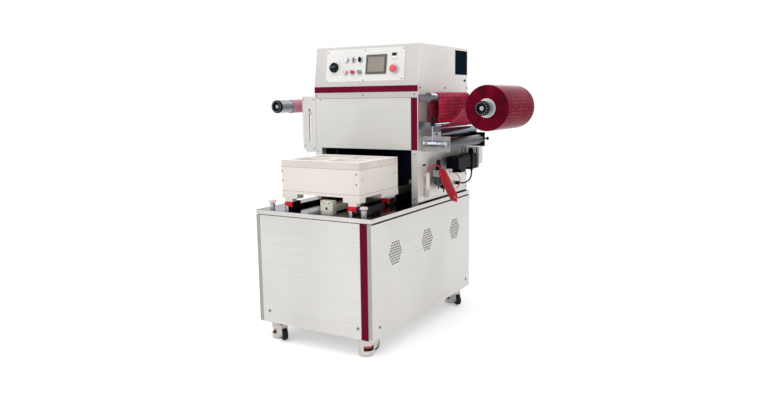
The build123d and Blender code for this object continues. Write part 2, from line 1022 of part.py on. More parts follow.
def nip_frame():
    """Front and rear end plates with the lugs for the clamp lever."""
    low = table_z + nip_bottom
    high = table_z + nip_top
    ear_z = table_z + guide_roller_height
    parts = []
    for y in ((nip_front, nip_front + nip_plate), (nip_back - nip_plate, nip_back)):
        plate = block((half_head, nip_right), y, (low, high))
        ear = (guide_roller_x - guide_ear_half, guide_roller_x + guide_ear_half)
        plate += block(ear, y, (high, ear_z + guide_ear_half / 2))
        for x, height in ((feed_x, feed_height), (guide_roller_x, guide_roller_height)):
            plate -= bar("Y", (x, table_z + height), y, pin_radius + pin_clearance)
        parts.append(plate)
    shaft_z = table_z + lever_height
    for x in (lever_left, lever_right - lug_thickness):
        lug = bar("X", (lever_y, shaft_z), (x, x + lug_thickness), lug_radius)
        lug_z = (shaft_z - lug_radius, shaft_z + lug_radius)
        lug += block((x, x + lug_thickness), (lever_y, nip_front), lug_z)
        lug -= bar("X", (lever_y, shaft_z), (x, x + lug_thickness), lever_shaft_radius + pin_clearance)
        parts[0] += lug
    return Compound(parts)


def roller(x, height, radius):
    """Roller with a pin at each end that turns in the end plates."""
    z = table_z + height
    face = (nip_front + nip_plate + feed_end_gap, nip_back - nip_plate - feed_end_gap)
    pin = bar("Y", (x, z), (nip_front, nip_back), pin_radius)
    return pin + bar("Y", (x, z), face, radius)


def clamp_lever():
    z = table_z + lever_height
    left = lever_left - lug_thickness
    right = lever_right + lug_thickness
    shaft = bar("X", (lever_y, z), (left, right), lever_shaft_radius)
    shaft += bar("X", (lever_y, z), (lever_left - lug_thickness, lever_left - 1), lug_radius)
    boss_left = lever_left + lug_thickness + 4
    boss_right = lever_right - lug_thickness - 4
    boss_middle = (boss_left + 2 * boss_right) / 3
    shaft += bar("X", (lever_y, z), (boss_left, boss_middle), lever_boss_radius)
    shaft += bar("X", (lever_y, z), (boss_middle, boss_right), lever_boss_radius - 3)
    shaft += bar("X", (lever_y, z), (lever_right + 1, right), lever_boss_radius - 1)
    grip_low = z + lever_rod_length
    shaft += bar("Z", (lever_rod_x, lever_y), (z, grip_low), lever_rod_radius)
    grip = bar("Z", (lever_rod_x, lever_y), (grip_low, grip_low + lever_grip_length), lever_grip_radius)
    return shaft + chamfer(grip.edges().filter_by(GeomType.CIRCLE), 2)


def rear_plate():
    y = (rear_plate_y, rear_plate_y + rear_plate_thickness)
    z = (table_z + rear_plate_low, table_z + rear_plate_high)
    plate = block((half_head, rear_plate_right), y, z)
    corner = plate.edges().filter_by(Axis.Y).group_by(Axis.Z)[0].sort_by(Axis.X)[-1]
    plate = fillet(corner, rear_plate_corner)
    for reach, width in rear_slots:
        x = half_head + reach
        slot_z = (table_z + rear_slot_low, table_z + rear_slot_high)
        plate -= block((x - width / 2, x + width / 2), y, slot_z)
    half = shaft_slot_width / 2
    dome = table_z + shaft_slot_high - half
    plate -= block((shaft_slot_x - half, shaft_slot_x + half), y, (table_z + rear_slot_low, dome))
    plate -= bar("Y", (shaft_slot_x, dome), y, half)
    flange_low = z[0] + 2 * rear_plate_corner
    flange = block(
        (rear_plate_right - rear_plate_thickness, rear_plate_right),
        (y[0], y[1] + rear_flange),
        (flange_low, z[1]),
    )
    return plate + flange


def gearmotor():
    z = table_z + motor_height
    head_front_y = rear_plate_y - gearhead_length
    half = gearhead_side / 2
    gearhead = block((motor_x - half, motor_x + half), (head_front_y, rear_plate_y), (z - half, z + half))
    gearhead = fillet(gearhead.edges().filter_by(Axis.Y), gearhead_corner)
    motor_z = (z - motor_drop, z + motor_rise)
    motor_sides = (motor_x - motor_width / 2, motor_x + motor_width / 2)
    motor = block(motor_sides, (motor_front_y, head_front_y), motor_z)
    motor = fillet(motor.edges().filter_by(Axis.Y).group_by(Axis.Z)[-1], motor_corner)
    box_x = (motor_x - motor_box_width / 2, motor_x + motor_box_width / 2)
    box_y = (motor_front_y + motor_box_front, motor_front_y + motor_box_front + motor_box_depth)
    box = block(box_x, box_y, (motor_z[0] - motor_box_drop, motor_z[0]))
    end_x, end_y, end_z = motor_cable_points[-1]
    gland = bar("Z", (end_x, end_y), (table_z + end_z, z), cable_radius + 3)
    return gearhead + motor + box + gland


def film_web():
    """The film from the roll under the low bar, up over the top bar and back into the head."""
    lift = film_thickness + seat_gap
    low_z = table_z + low_bar_height
    top_z = table_z + top_bar_height
    roll_z = table_z + unwind_height
    reach = roll_radius + lift
    leave = math.radians(205)
    start = (unwind_x + reach * math.cos(leave), roll_z + reach * math.sin(leave))
    low_wrap = low_bar_radius + lift
    touch = math.radians(290)
    under = (low_bar_x + low_wrap * math.cos(touch), low_z + low_wrap * math.sin(touch))
    sag = (start[0] * 0.42 + under[0] * 0.58, start[1] * 0.42 + under[1] * 0.58 - film_sag)
    low_turn = math.radians(217)
    low_side = (low_bar_x + low_wrap * math.cos(low_turn), low_z + low_wrap * math.sin(low_turn))
    left = (low_bar_x - low_wrap, low_z)
    top_wrap = top_bar_radius + lift
    right = (top_bar_x + top_wrap, top_z)
    over = (top_bar_x, top_z + top_wrap)
    inner = (top_bar_x - top_wrap, top_z)
    slot_z = table_z + film_slot_right_low + film_slot_height / 2
    reach_in = inner_ply_reach
    bend = (half_head + reach_in, slot_z + reach_in)
    half_turn = reach_in * math.cos(math.radians(45))
    bend_middle = (half_head + half_turn, slot_z + reach_in - half_turn)
    mouth = (half_head, slot_z)
    end = (half_head - head_sheet, slot_z)
    path = ThreePointArc(start, sag, under) + ThreePointArc(under, low_side, left)
    path += Line(left, right)
    path += ThreePointArc(right, over, inner)
    path += Line(inner, bend)
    path += ThreePointArc(bend, bend_middle, mouth)
    path += Line(mouth, end)
    ribbon = Plane.XZ.offset(-film_back) * trace(path, film_thickness)
    return extrude(ribbon, film_back - film_front)


# Left side


def slot_plates():
    """Front and rear plates that guide the tension roller's pins."""
    outer = -half_head - slot_plate_width
    low = table_z + slot_plate_low
    high = table_z + slot_plate_high
    cut = slot_plate_chamfer
    points = [(-half_head, low), (outer + cut, low), (outer, low + cut), (outer, high), (-half_head, high)]
    parts = []
    for y in (head_front, film_back + 2 * hub_flange + 2):
        plate = outline_xz(points, y, y + slot_plate_thickness)
        span = (y, y + slot_plate_thickness)
        half = slot_width / 2
        ends = (table_z + slot_low + half, table_z + slot_high - half)
        plate -= block((slot_x - half, slot_x + half), span, ends)
        for z in ends:
            plate -= bar("Y", (slot_x, z), span, half)
        parts.append(plate)
    return Compound(parts)


def tension_roller():
    z = table_z + tension_height
    front = head_front
    back = film_back + 2 * hub_flange + 2 + slot_plate_thickness
    face = (front + slot_plate_thickness + tension_end_gap, back - slot_plate_thickness - tension_end_gap)
    roller_bar = bar("Y", (slot_x, z), face, tension_radius)
    pin = bar("Y", (slot_x, z), (front - tension_collar, back + tension_collar), tension_pin_radius)
    nut = (front - tension_collar, front - seat_gap)
    roller_bar += pin + bar("Y", (slot_x, z), nut, tension_collar)
    nut = (back + seat_gap, back + tension_collar)
    return roller_bar + bar("Y", (slot_x, z), nut, tension_collar)


# Compressed air fittings


def filter_regulator():
    x = half_head + regulator_x
    half = regulator_body / 2
    z = (table_z + regulator_low, table_z + regulator_high)
    body = block((x - half, x + half), (regulator_y - half, second_bowl_y + half), z)
    body = fillet(body.edges().filter_by(Axis.Z), regulator_corner)
    lug_y = (regulator_y + half / 2, second_bowl_y - half / 2)
    body += block((half_head, x - half), lug_y, (z[0] + regulator_corner, z[1] - regulator_corner))
    knob_low = z[1] + neck_height
    body += bar("Z", (x, regulator_y), (z[1], knob_low), neck_radius)
    body += bar("Z", (x, regulator_y), (knob_low, knob_low + knob_height), knob_radius)
    bowls = (
        (regulator_y, bowl_radius, bowl_height),
        (second_bowl_y, second_bowl_radius, second_bowl_height),
    )
    for y, radius, height in bowls:
        bowl = bar("Z", (x, y), (z[0] - height, z[0]), radius)
        body += chamfer(bowl.edges().filter_by(GeomType.CIRCLE).sort_by(Axis.Z)[0], bowl_corner)
        body += bar("Z", (x, y), (z[0] - height - drain_height, z[0] - height), drain_radius)
    return body


def flow_meter():
    x = half_head + meter_x
    z = (table_z + meter_low, table_z + meter_high)
    body = bar("Z", (x, meter_y), z, meter_radius)
    body += block(
        (x - meter_radius, x + meter_radius),
        (meter_y - meter_radius, meter_y + meter_radius),
        (z[0], z[0] + meter_block),
    )
    body += bar(
        "Y",
        (x, z[0] + 0.75 * meter_block),
        (meter_y, meter_y + meter_radius + meter_valve_length),
        meter_valve_radius,
    )
    for foot in (z[0] + meter_block / 2, z[1] - 2 * meter_foot):
        body += block((half_head, x), (meter_y - meter_foot, meter_y + meter_foot), (foot, foot + meter_foot))
    return body


def air_fittings():
    """Filter with regulator, flow meter, the motor cable's gland and two push-in ports."""
    parts = [filter_regulator(), flow_meter()]
    x, y, height = motor_cable_points[0]
    parts.append(bar("X", (y, table_z + height), (half_head, x), gland_radius))
    parts.append(hose_port(vent_hose_points[0], vent_hose_points[1]))
    parts.append(hose_port(vent_hose_points[-1], vent_hose_points[-2]))
    return Compound(parts)


def hose_port(end, beside):
    """Elbow fitting on the wall whose mouth faces along the hose's end run."""
    mouth = Vector(*end)
    away = (Vector(*beside) - mouth).normalized()
    radius = 2 * hose_radius
    stub = Cylinder(radius, port_length, align=(Align.CENTER, Align.CENTER, Align.MAX))
    elbow = Plane(origin=mouth, z_dir=away) * stub
    root = mouth - away * port_length
    boss_radius = radius + 2
    elbow += bar("X", (root.Y, root.Z), (half_head, root.X + boss_radius), boss_radius)
    return Pos(0, 0, table_z) * elbow


# Hoses and cable: hand-chosen points in X, Y and height above the table

port_tip = half_head + gland_length
gland_x = motor_x + motor_gland_offset

air_hose_points = [
    (half_head + meter_x, meter_y, meter_high),
    (half_head + meter_x, meter_y, meter_high + 11),
    (half_head + meter_x + 5, meter_y + 2, meter_high + 27),
    (half_head + meter_x + 18, meter_y + 5, meter_high + 39),
    (half_head + meter_x + 35, meter_y + 9, meter_high + 45),
    (half_head + meter_x + 52, meter_y + 14, meter_high + 43),
    (half_head + meter_x + 62, meter_y + 21, meter_high + 32),
    (half_head + meter_x + 66, meter_y + 28, meter_high + 17),
]
vent_hose_points = [
    (half_head + 18, motor_front_y + 92, 137),
    (half_head + 22, motor_front_y + 110, 136),
    (half_head + 32, motor_front_y + 137, 124),
    (half_head + 41, motor_front_y + 160, 101),
    (half_head + 43, motor_front_y + 170, 72),
    (half_head + 36, motor_front_y + 160, 46),
    (half_head + 24, motor_front_y + 138, 34),
]
motor_cable_points = [
    (port_tip, rear_plate_y - 46, 62),
    (port_tip + 18, rear_plate_y - 46, 62),
    (port_tip + 42, rear_plate_y - 44, 68),
    (port_tip + 62, rear_plate_y - 40, 85),
    (gland_x, rear_plate_y - 34, 111),
    (gland_x, rear_plate_y - 34, motor_height - gearhead_side / 2 - motor_gland),
]


def corner_radii(points):
    """The largest arc that each corner's two runs allow, as 0.45 of the shorter run."""
    radii = []
    for before, here, after in zip(points, points[1:], points[2:]):
        first = Vector(*here) - Vector(*before)
        second = Vector(*after) - Vector(*here)
        turn = math.radians(first.get_angle(second))
        radii.append(0.45 * min(first.length, second.length) / math.tan(turn / 2))
    return radii


def tube(name, points, radius):
    """A cord's tube: straight runs joined by tangent arcs."""
    route = [(x, y, table_z + z) for x, y, z in points]
    radii = corner_radii(route)
    path = FilletPolyline(*route, radius=radii)
    solid = sweep(Plane(path @ 0, z_dir=path % 0) * Circle(radius), path=path)
    share = solid.volume / (math.pi * radius**2 * path.length)
    print(name, "radii", [round(r) for r in radii], "length", round(path.length), "share", round(share, 4))
    return solid


def hose_hank():
    """Outer shape of the folded and wrapped hose below the regulator."""
    end = Vector(*air_hose_points[-1])
    axis = end - Vector(*air_hose_points[-2])
    stick = Cylinder(hank_radius, hank_length, align=(Align.CENTER, Align.CENTER, Align.MIN))
    stick = chamfer(stick.edges().filter_by(GeomType.CIRCLE), hank_corner)
    return Pos(0, 0, table_z) * (Plane(origin=end, z_dir=axis) * stick)


# Write the nodes

nodes = {
    "corner_posts": corner_posts(),
    "base_panels": base_panels(),
    "base_floor": base_floor(),
    "table_top": table_top(),
    "trim_stripes": trim_stripes(),
    "slide_rails": slide_rails(),
    "drive_cylinder": drive_cylinder(),
    "die_carriages": die_carriages(),
    "die_body": die_body(),
    "die_top_plate": die_top_plate(),
    "button_collars": button_collars(),
    "palm_button_left": palm_button(-1),
    "palm_button_right": palm_button(1),
    "head_left_wall": head_wall(-1, film_slot_left_low),
    "head_right_wall": head_wall(1, film_slot_right_low),
    "head_cover": head_cover(),
    "control_fascia": control_fascia(),
    "front_cover": front_cover(),
    "front_columns": front_columns(),
    "press_frame": press_frame(),
    "upper_tool": upper_tool(),
    "control_plate": control_plate(),
    "touch_panel": touch_panel(),
    "control_collars": control_collars(),
    "main_switch_knob": main_switch_knob(),
    "start_button": push_button(device_columns[0], device_row_high),
    "mode_selector": selector(device_columns[1], device_row_high),
    "film_selector": selector(device_columns[2], device_row_high),
    "red_button": push_button(device_columns[1], device_row_low),
    "green_button": push_button(device_columns[2], device_row_low),
    "stop_button": stop_button(),
    "unwind_shaft": unwind_shaft(),
    "film_roll": film_roll(),
    "rewind_shaft": rewind_shaft(),
    "waste_film": waste_film(),
    "shaft_supports": shaft_supports(),
    "film_guides": film_guides(),
    "nip_frame": nip_frame(),
    "feed_roller": roller(feed_x, feed_height, feed_radius),
    "guide_roller": roller(guide_roller_x, guide_roller_height, guide_roller_radius),
    "clamp_lever": clamp_lever(),
    "rear_plate": rear_plate(),
    "gearmotor": gearmotor(),
    "film_web": film_web(),
    "slot_plates": slot_plates(),
    "tension_roller": tension_roller(),
    "air_fittings": air_fittings(),
    "air_hose": tube("air_hose", air_hose_points, hose_radius),
    "hose_hank": hose_hank(),
    "vent_hose": tube("vent_hose", vent_hose_points, hose_radius),
    "motor_cable": tube("motor_cable", motor_cable_points, cable_radius),
}
for corner in caster_places():
    nodes["caster_" + corner] = place_caster(caster_frame(), corner)
    nodes["wheel_" + corner] = place_caster(caster_wheel(), corner)

reach_left = rewind_x - bearing_radius
reach_right = unwind_x + roll_radius
reach_front = -stripe_proud
middle = Vector((reach_left + reach_right) / 2, (reach_front + cabinet_depth) / 2, 0)

if __name__ == "__main__":
    os.makedirs("parts", exist_ok=True)
    for name, shape in nodes.items():
        export_step(Pos(-middle.X, -middle.Y, 0) * shape, f"parts/{name}.step")
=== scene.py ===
"""Finish of a tray sealing machine: steel, paint, film, hoses, small fasteners, light and camera.

Places are in millimetres in the machine's own drawing, measured from the middle of the cabinet's front
edge on the floor, and at() turns them into the frame's metres.
"""

import json
import math

import bmesh
import bpy
import numpy as np
from mathutils import Matrix, Vector

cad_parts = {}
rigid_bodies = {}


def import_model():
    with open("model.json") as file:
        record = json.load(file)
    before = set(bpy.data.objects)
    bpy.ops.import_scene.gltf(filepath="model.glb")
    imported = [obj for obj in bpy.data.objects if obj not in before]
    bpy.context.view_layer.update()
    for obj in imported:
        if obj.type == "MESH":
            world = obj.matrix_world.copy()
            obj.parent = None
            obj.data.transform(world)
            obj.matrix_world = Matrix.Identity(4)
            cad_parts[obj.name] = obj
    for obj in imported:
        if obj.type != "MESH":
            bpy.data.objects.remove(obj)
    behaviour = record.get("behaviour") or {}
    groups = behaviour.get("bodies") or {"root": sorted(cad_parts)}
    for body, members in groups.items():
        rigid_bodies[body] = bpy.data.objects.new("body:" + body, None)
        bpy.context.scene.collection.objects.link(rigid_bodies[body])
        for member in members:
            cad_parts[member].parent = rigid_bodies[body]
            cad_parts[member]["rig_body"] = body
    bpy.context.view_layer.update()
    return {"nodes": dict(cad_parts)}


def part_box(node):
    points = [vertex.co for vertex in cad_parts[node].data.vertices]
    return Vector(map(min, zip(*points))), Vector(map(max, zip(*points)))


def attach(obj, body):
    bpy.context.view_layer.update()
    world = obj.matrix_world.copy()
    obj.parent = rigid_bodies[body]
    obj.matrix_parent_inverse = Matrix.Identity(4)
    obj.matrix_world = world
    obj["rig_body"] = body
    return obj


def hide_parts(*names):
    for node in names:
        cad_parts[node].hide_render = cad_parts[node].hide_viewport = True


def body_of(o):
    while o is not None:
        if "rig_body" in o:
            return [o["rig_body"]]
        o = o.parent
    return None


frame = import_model()

panel_low, panel_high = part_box("base_panels")
CENTRE_X = (panel_low[0] + panel_high[0]) / 2
FRONT_Y = panel_low[1]
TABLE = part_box("table_top")[1][2] * 1000

# In millimetres. The control face starts at the height FOLD and leans back by LEAN
HALF_CABINET = 350
CABINET_DEPTH = 1160
HALF_HEAD = 330
HEAD_FRONT = 518
FOLD = 1322.5
LEAN = math.radians(9.2)
FULL_TURN = 2 * math.pi


def at(x, y, z):
    """Millimetres in the machine's drawing as metres in the frame; arrays work too."""
    places = CENTRE_X + np.asarray(x) / 1000, FRONT_Y + np.asarray(y) / 1000, np.asarray(z) / 1000
    return np.stack(np.broadcast_arrays(*places), -1)


def above(x, y, height):
    """As at(), with the height measured from the table."""
    return at(x, y, np.asarray(height) + TABLE)


def in_drawing(centres):
    """The other way round from at(): metres in the frame as x, y and height in millimetres, three arrays."""
    return (centres - (CENTRE_X, FRONT_Y, 0)).T * 1000


def linear(red, green, blue):
    """An 8 bit display colour as a linear one: c / 12.92 below 0.04045, else ((c + 0.055) / 1.055) ^ 2.4."""
    tone = np.array((red, green, blue)) / 255
    tone = np.where(tone < 0.04045, tone / 12.92, ((tone + 0.055) / 1.055) ** 2.4)
    return (*tone.tolist(), 1.0)


def shades(colour, lighter, darker):
    """A light and a dark linear colour: each part of the display colour times a factor, 255 at most."""
    light = linear(*[min(255, part * lighter) for part in colour])
    return light, linear(*[part * darker for part in colour])


# Materials


class Finish:
    """A node material with a principled shader; the methods add nodes and return their output sockets."""

    def __init__(self, name):
        self.material = bpy.data.materials.new(name)
        self.material.use_nodes = True
        self.tree = self.material.node_tree
        self.shader = self.tree.nodes["Principled BSDF"]

    def node(self, kind, numbers=None, **settings):
        """A node of a kind with its settings, and fixed numbers for some of its inputs."""
        made = self.tree.nodes.new(kind)
        for key, value in settings.items():
            setattr(made, key, value)
        for key, value in (numbers or {}).items():
            made.inputs[key].default_value = value
        return made

    def feed(self, value, socket):
        if isinstance(value, bpy.types.NodeSocket):
            self.tree.links.new(value, socket)
        else:
            socket.default_value = value

    def place(self, stretch=(1, 1, 1), shift=(0, 0, 0), source="Object"):
        coordinates = self.node("ShaderNodeTexCoord").outputs[source]
        mapping = self.node("ShaderNodeMapping", {"Scale": stretch, "Location": shift})
        self.feed(coordinates, mapping.inputs["Vector"])
        return mapping.outputs["Vector"]

    def noise(self, stretch, detail=3.0, rough=0.55, scale=1.0, shift=(0, 0, 0), source="Object"):
        """Noise over the source's coordinates, stretched and shifted."""
        where = self.place(stretch, shift, source)
        made = self.node("ShaderNodeTexNoise", {"Scale": scale, "Detail": detail, "Roughness": rough})
        self.feed(where, made.inputs["Vector"])
        return made.outputs["Fac"]

    def ramp(self, value, low, high, to_low=0.0, to_high=1.0):
        numbers = {"From Min": low, "From Max": high, "To Min": to_low, "To Max": to_high}
        made = self.node("ShaderNodeMapRange", numbers)
        self.feed(value, made.inputs["Value"])
        return made.outputs["Result"]

    def sums(self, how, first, second=0.5):
        made = self.node("ShaderNodeMath", operation=how)
        self.feed(first, made.inputs[0])
        self.feed(second, made.inputs[1])
        return made.outputs[0]

    def mix(self, share, first, second):
        made = self.node("ShaderNodeMix", data_type="RGBA")
        self.feed(share, made.inputs["Factor"])
        self.feed(first, made.inputs["A"])
        self.feed(second, made.inputs["B"])
        return made.outputs["Result"]

    def bump(self, height, strength, depth=0.001):
        made = self.node("ShaderNodeBump", {"Strength": strength, "Distance": depth})
        self.feed(height, made.inputs["Height"])
        self.feed(made.outputs["Normal"], self.shader.inputs["Normal"])

    def let_through(self, share, colour):
        """Thin film: part of the light comes through from the far side, tinted by colour."""
        glow = self.node("ShaderNodeBsdfTranslucent")
        self.feed(colour, glow.inputs["Color"])
        blend = self.node("ShaderNodeMixShader")
        blend.inputs[0].default_value = share
        self.tree.links.new(self.shader.outputs[0], blend.inputs[1])
        self.tree.links.new(glow.outputs[0], blend.inputs[2])
        self.tree.links.new(blend.outputs[0], self.tree.nodes["Material Output"].inputs["Surface"])

    def set(self, **values):
        for key, value in values.items():
            self.feed(value, self.shader.inputs[key.replace("_", " ")])


def facing(finish, direction):
    """1 on faces that look along direction, from the dot product of the normal with it."""
    normal = finish.node("ShaderNodeNewGeometry").outputs["Normal"]
    dot = finish.node("ShaderNodeVectorMath", operation="DOT_PRODUCT")
    finish.feed(normal, dot.inputs[0])
    dot.inputs[1].default_value = direction
    return finish.ramp(dot.outputs["Value"], 0.45, 0.55)


# Painted shade: the dark blue given to the inner faces of the sheets, where little light reaches
UNLIT_BLUE = (28, 44, 68)


def brushed(name, colour, grain, rough=0.34, metal=0.72, inside=None):
    """Brushed sheet: fine noise drawn out along the brushing, with slow clouds of tone over it that paint
    broad uneven shading, and painted shade, a dark blue, on the side that looks along inside."""
    finish = Finish(name)
    lines = finish.noise(grain, 4.0, 0.7)
    # Painted shade: the slow clouds stand in for broad, uneven shading across the sheet
    clouds = finish.noise((2.1, 2.1, 1.3), 2.0)
    tone = finish.sums("ADD", finish.sums("MULTIPLY", lines, 0.62), finish.sums("MULTIPLY", clouds, 0.38))
    light, dark = shades(colour, 1.05, 0.9)
    shade = finish.mix(finish.ramp(tone, 0.3, 0.7), dark, light)
    if inside:
        shade = finish.mix(facing(finish, inside), shade, linear(*UNLIT_BLUE))
    finish.set(
        Base_Color=shade,
        Metallic=metal,
        Roughness=finish.ramp(lines, 0.25, 0.75, rough - 0.07, rough + 0.1),
        Anisotropic=0.35,
    )
    finish.bump(lines, 0.05, 0.0004)
    return finish.material


def coated(
    name, colour, rough, metal=0.0, vary=0.05, scale=40, pores=0.05, coat=0.0, dirt=None, gloss=0.3
):
    """Paint, plastic, rubber or cast metal: a tone that drifts a little, with a fine grain in gloss and
    height, and specks of dirt where a colour for them is given."""
    finish = Finish(name)
    drift = finish.noise((1, 1, 1), 2.0, scale=scale / 6)
    grain = finish.noise((1, 1, 1), scale=scale * 12)
    light, dark = shades(colour, 1 + vary, 1 - vary)
    shade = finish.mix(finish.ramp(drift, 0.35, 0.65), dark, light)
    if dirt:
        speck = finish.noise((1, 1, 1), 5.0, 0.7, scale * 2, (3, 1, 2))
        shade = finish.mix(finish.ramp(speck, 0.62, 0.8, 0.0, 0.5), shade, linear(*dirt))
    finish.set(
        Base_Color=shade,
        Metallic=metal,
        Roughness=finish.ramp(grain, 0.3, 0.7, max(0.02, rough - 0.06), rough + 0.08),
        Specular_IOR_Level=gloss,
        Coat_Weight=coat,
        Coat_Roughness=0.12,
    )
    finish.bump(grain, pores, 0.0006)
    return finish.material


def polished(name, colour, axis, rough=0.14):
    """Turned and polished metal: fine rings or lengthwise striations in gloss along the given stretch."""
    finish = Finish(name)
    streak = finish.noise(axis, 5.0, 0.65)
    light, dark = shades(colour, 1.12, 0.72)
    finish.set(
        Base_Color=finish.mix(finish.ramp(streak, 0.3, 0.7), dark, light),
        Metallic=0.96,
        Roughness=finish.ramp(streak, 0.3, 0.7, max(0.04, rough - 0.06), rough + 0.1),
    )
    finish.bump(streak, 0.04, 0.0003)
    return finish.material


# Sheets given an inside direction get painted shade, a dark blue, on their inner faces
steel = brushed("brushed_steel", (213, 211, 208), (3, 3, 700))
steel_upright = brushed("upright_sheet", (214, 212, 209), (520, 520, 3), 0.38, 0.55)
# Painted light: the right wall's steel is lighter than the other sheets, a lit copy of the same brushed steel
steel_right_wall_lit = brushed("right_wall", (224, 221, 218), (3, 3, 700), 0.38, 0.6, inside=(-1, 0, 0))
steel_left_wall = brushed("left_wall", (214, 212, 209), (3, 3, 700), 0.38, 0.6, inside=(1, 0, 0))
steel_cover = brushed("head_sheet", (216, 214, 211), (3, 500, 500), inside=(0, -0.72, -0.72))
steel_post = brushed("corner_post", (164, 163, 160), (520, 520, 3), 0.38, 0.4)
steel_front = brushed("front_sheet", (213, 211, 208), (3, 3, 620), 0.42, 0.6, inside=(0, 1, 0))
# Painted shade: the fascia's steel is darker than the front sheet, a shaded copy that makes up for the light
# its upward lean catches
steel_fascia_shaded = brushed("fascia_sheet_shaded", (196, 192, 188), (3, 3, 620), 0.42, 0.6, inside=(0, 1, 0))
steel_plate = brushed("panel_plate", (232, 231, 228), (3, 3, 480), 0.5, 0.2)
steel_dull = brushed("dull_plate", (166, 165, 162), (3, 3, 520), 0.42, 0.7)
burgundy = coated("burgundy_band", (110, 20, 46), 0.5, vary=0.04, scale=18, gloss=0.0)
cream = coated("cream_coating", (240, 233, 226), 0.5, vary=0.018, scale=16, pores=0.12, gloss=0.2)
cream_dull = coated("brushed_cream", (226, 217, 210), 0.5, vary=0.03, scale=22, pores=0.12, gloss=0.2)
# Painted light: a brighter cream for the die's upward faces
cream_lit_top = coated("lit_cream_seal_face", (253, 253, 250), 0.4, vary=0.012, scale=22, pores=0.08, gloss=0.2)
dark_metal = coated("dark_metal", (26, 30, 38), 0.4, metal=0.4, vary=0.12, scale=30, pores=0.1, gloss=0.2)
black_paint = coated("black_paint", (11, 15, 22), 0.42, vary=0.15, scale=24, pores=0.12, gloss=0.07)
black_plastic = coated("black_plastic", (11, 13, 19), 0.34, vary=0.12, gloss=0.12)
rubber = coated("black_rubber", (18, 20, 26), 0.62, vary=0.15, scale=30, pores=0.3, gloss=0.2)
cast = coated("cast_alloy", (208, 202, 198), 0.46, metal=0.3, scale=30, pores=0.25, dirt=(158, 150, 146))
aluminium = coated("aluminium", (206, 206, 204), 0.36, metal=0.7, pores=0.12)
arm_metal = coated(
    "arm_casting", (96, 98, 101), 0.4, metal=0.1, vary=0.3, scale=80, pores=0.2, dirt=(28, 30, 34), gloss=0.12
)
silver_cream = coated("plated_block", (206, 204, 188), 0.42, metal=0.45, pores=0.15, dirt=(126, 124, 112))
chrome = polished("chrome", (178, 184, 196), (2, 500, 2), 0.1)
shaft_silver = coated("shaft_barrel", (152, 156, 166), 0.24, metal=0.75, scale=20, pores=0.04)
rail_end = coated("rail_end", (206, 206, 208), 0.36, metal=0.3, scale=60, pores=0.06)
knob_grip = coated("knob_grip", (74, 78, 86), 0.4, vary=0.08, scale=60, gloss=0.15)
seam_shade = coated("seam_shade", (176, 166, 158), 0.6, vary=0.04, gloss=0.05)
# Painted shade for the cabinet panels' inner sides and the vent holes' walls
inside_painted_shade = coated("inside_shade", (34, 38, 46), 0.6, vary=0.12, scale=14, pores=0.1, gloss=0.05)
rail_steel = polished("rail_steel", (70, 74, 82), (300, 2, 300), 0.16)
roller_steel = polished("roller_steel", (96, 104, 122), (420, 1.5, 420), 0.16)
dark_roller = polished("dark_roller", (66, 70, 78), (260, 1.5, 260), 0.3)
screw_steel = polished("screw_steel", (140, 138, 138), (900, 900, 900), 0.22)
screw_dark = coated("dark_screw", (52, 50, 52), 0.4, metal=0.6, vary=0.1, scale=60, pores=0.1)
red_cap = coated("red_plastic", (226, 40, 54), 0.36)
stop_red = coated("stop_red", (238, 92, 96), 0.4, vary=0.03)
pale_red = coated("pale_lens", (228, 192, 190), 0.3, pores=0.04, coat=0.2)
palm_cap = coated("palm_cap", (228, 206, 206), 0.36, vary=0.04, coat=0.1)
green_cap = coated("green_cap", (134, 146, 128), 0.38, vary=0.06)
white_plastic = coated("white_plastic", (241, 239, 236), 0.38, vary=0.02)
lilac_ring = coated("ring_plate", (214, 212, 226), 0.4, metal=0.2, vary=0.03)
bezel = coated("screen_frame", (92, 94, 95), 0.46, pores=0.06, gloss=0.2)
tube_glass = coated("meter_tube", (238, 222, 214), 0.24, vary=0.03, pores=0.03, coat=0.3)
smoke_bowl = coated("smoke_bowl", (72, 76, 78), 0.28, vary=0.12, scale=30, pores=0.03)
label_plate = coated("bare_label", (20, 30, 44), 0.5, vary=0.1, scale=14, pores=0.04, gloss=0.0)
# Dark colour for the wall gasket, and painted shade for the shadow gap under the table top
gap_dark = coated("gasket_and_gap_shade", (20, 20, 24), 0.6, vary=0.1, gloss=0.1)
hose_red = coated("red_hose", (196, 30, 44), 0.34, vary=0.07, scale=50, pores=0.04)
hose_orange = coated("orange_hose", (222, 112, 44), 0.34, vary=0.06, scale=50, pores=0.04)
cable_black = coated("cable_jacket", (14, 14, 18), 0.48, vary=0.12, scale=50, pores=0.1, gloss=0.2)


SPLIT_BLUR = 0.0005


def split_material(name, height, low_colour, high_colour, dirt):
    """Moulding in two colours that meet at a height in metres, with grains of wear in the upper one."""
    finish = Finish(name)
    split = finish.node("ShaderNodeSeparateXYZ")
    finish.feed(finish.place(), split.inputs[0])
    upper = finish.ramp(split.outputs["Z"], height - SPLIT_BLUR, height + SPLIT_BLUR)
    grain = finish.noise((500, 500, 500), 2.0)
    speck = finish.ramp(finish.noise((90, 90, 90), 5.0, 0.7), 0.56, 0.7, 0.0, 0.7)
    high = finish.mix(speck, linear(*high_colour), linear(*dirt))
    finish.set(
        Base_Color=finish.mix(upper, linear(*low_colour), high),
        Roughness=finish.ramp(grain, 0.3, 0.7, 0.34, 0.48),
        Specular_IOR_Level=0.2,
    )
    finish.bump(grain, 0.06, 0.0005)
    return finish.material


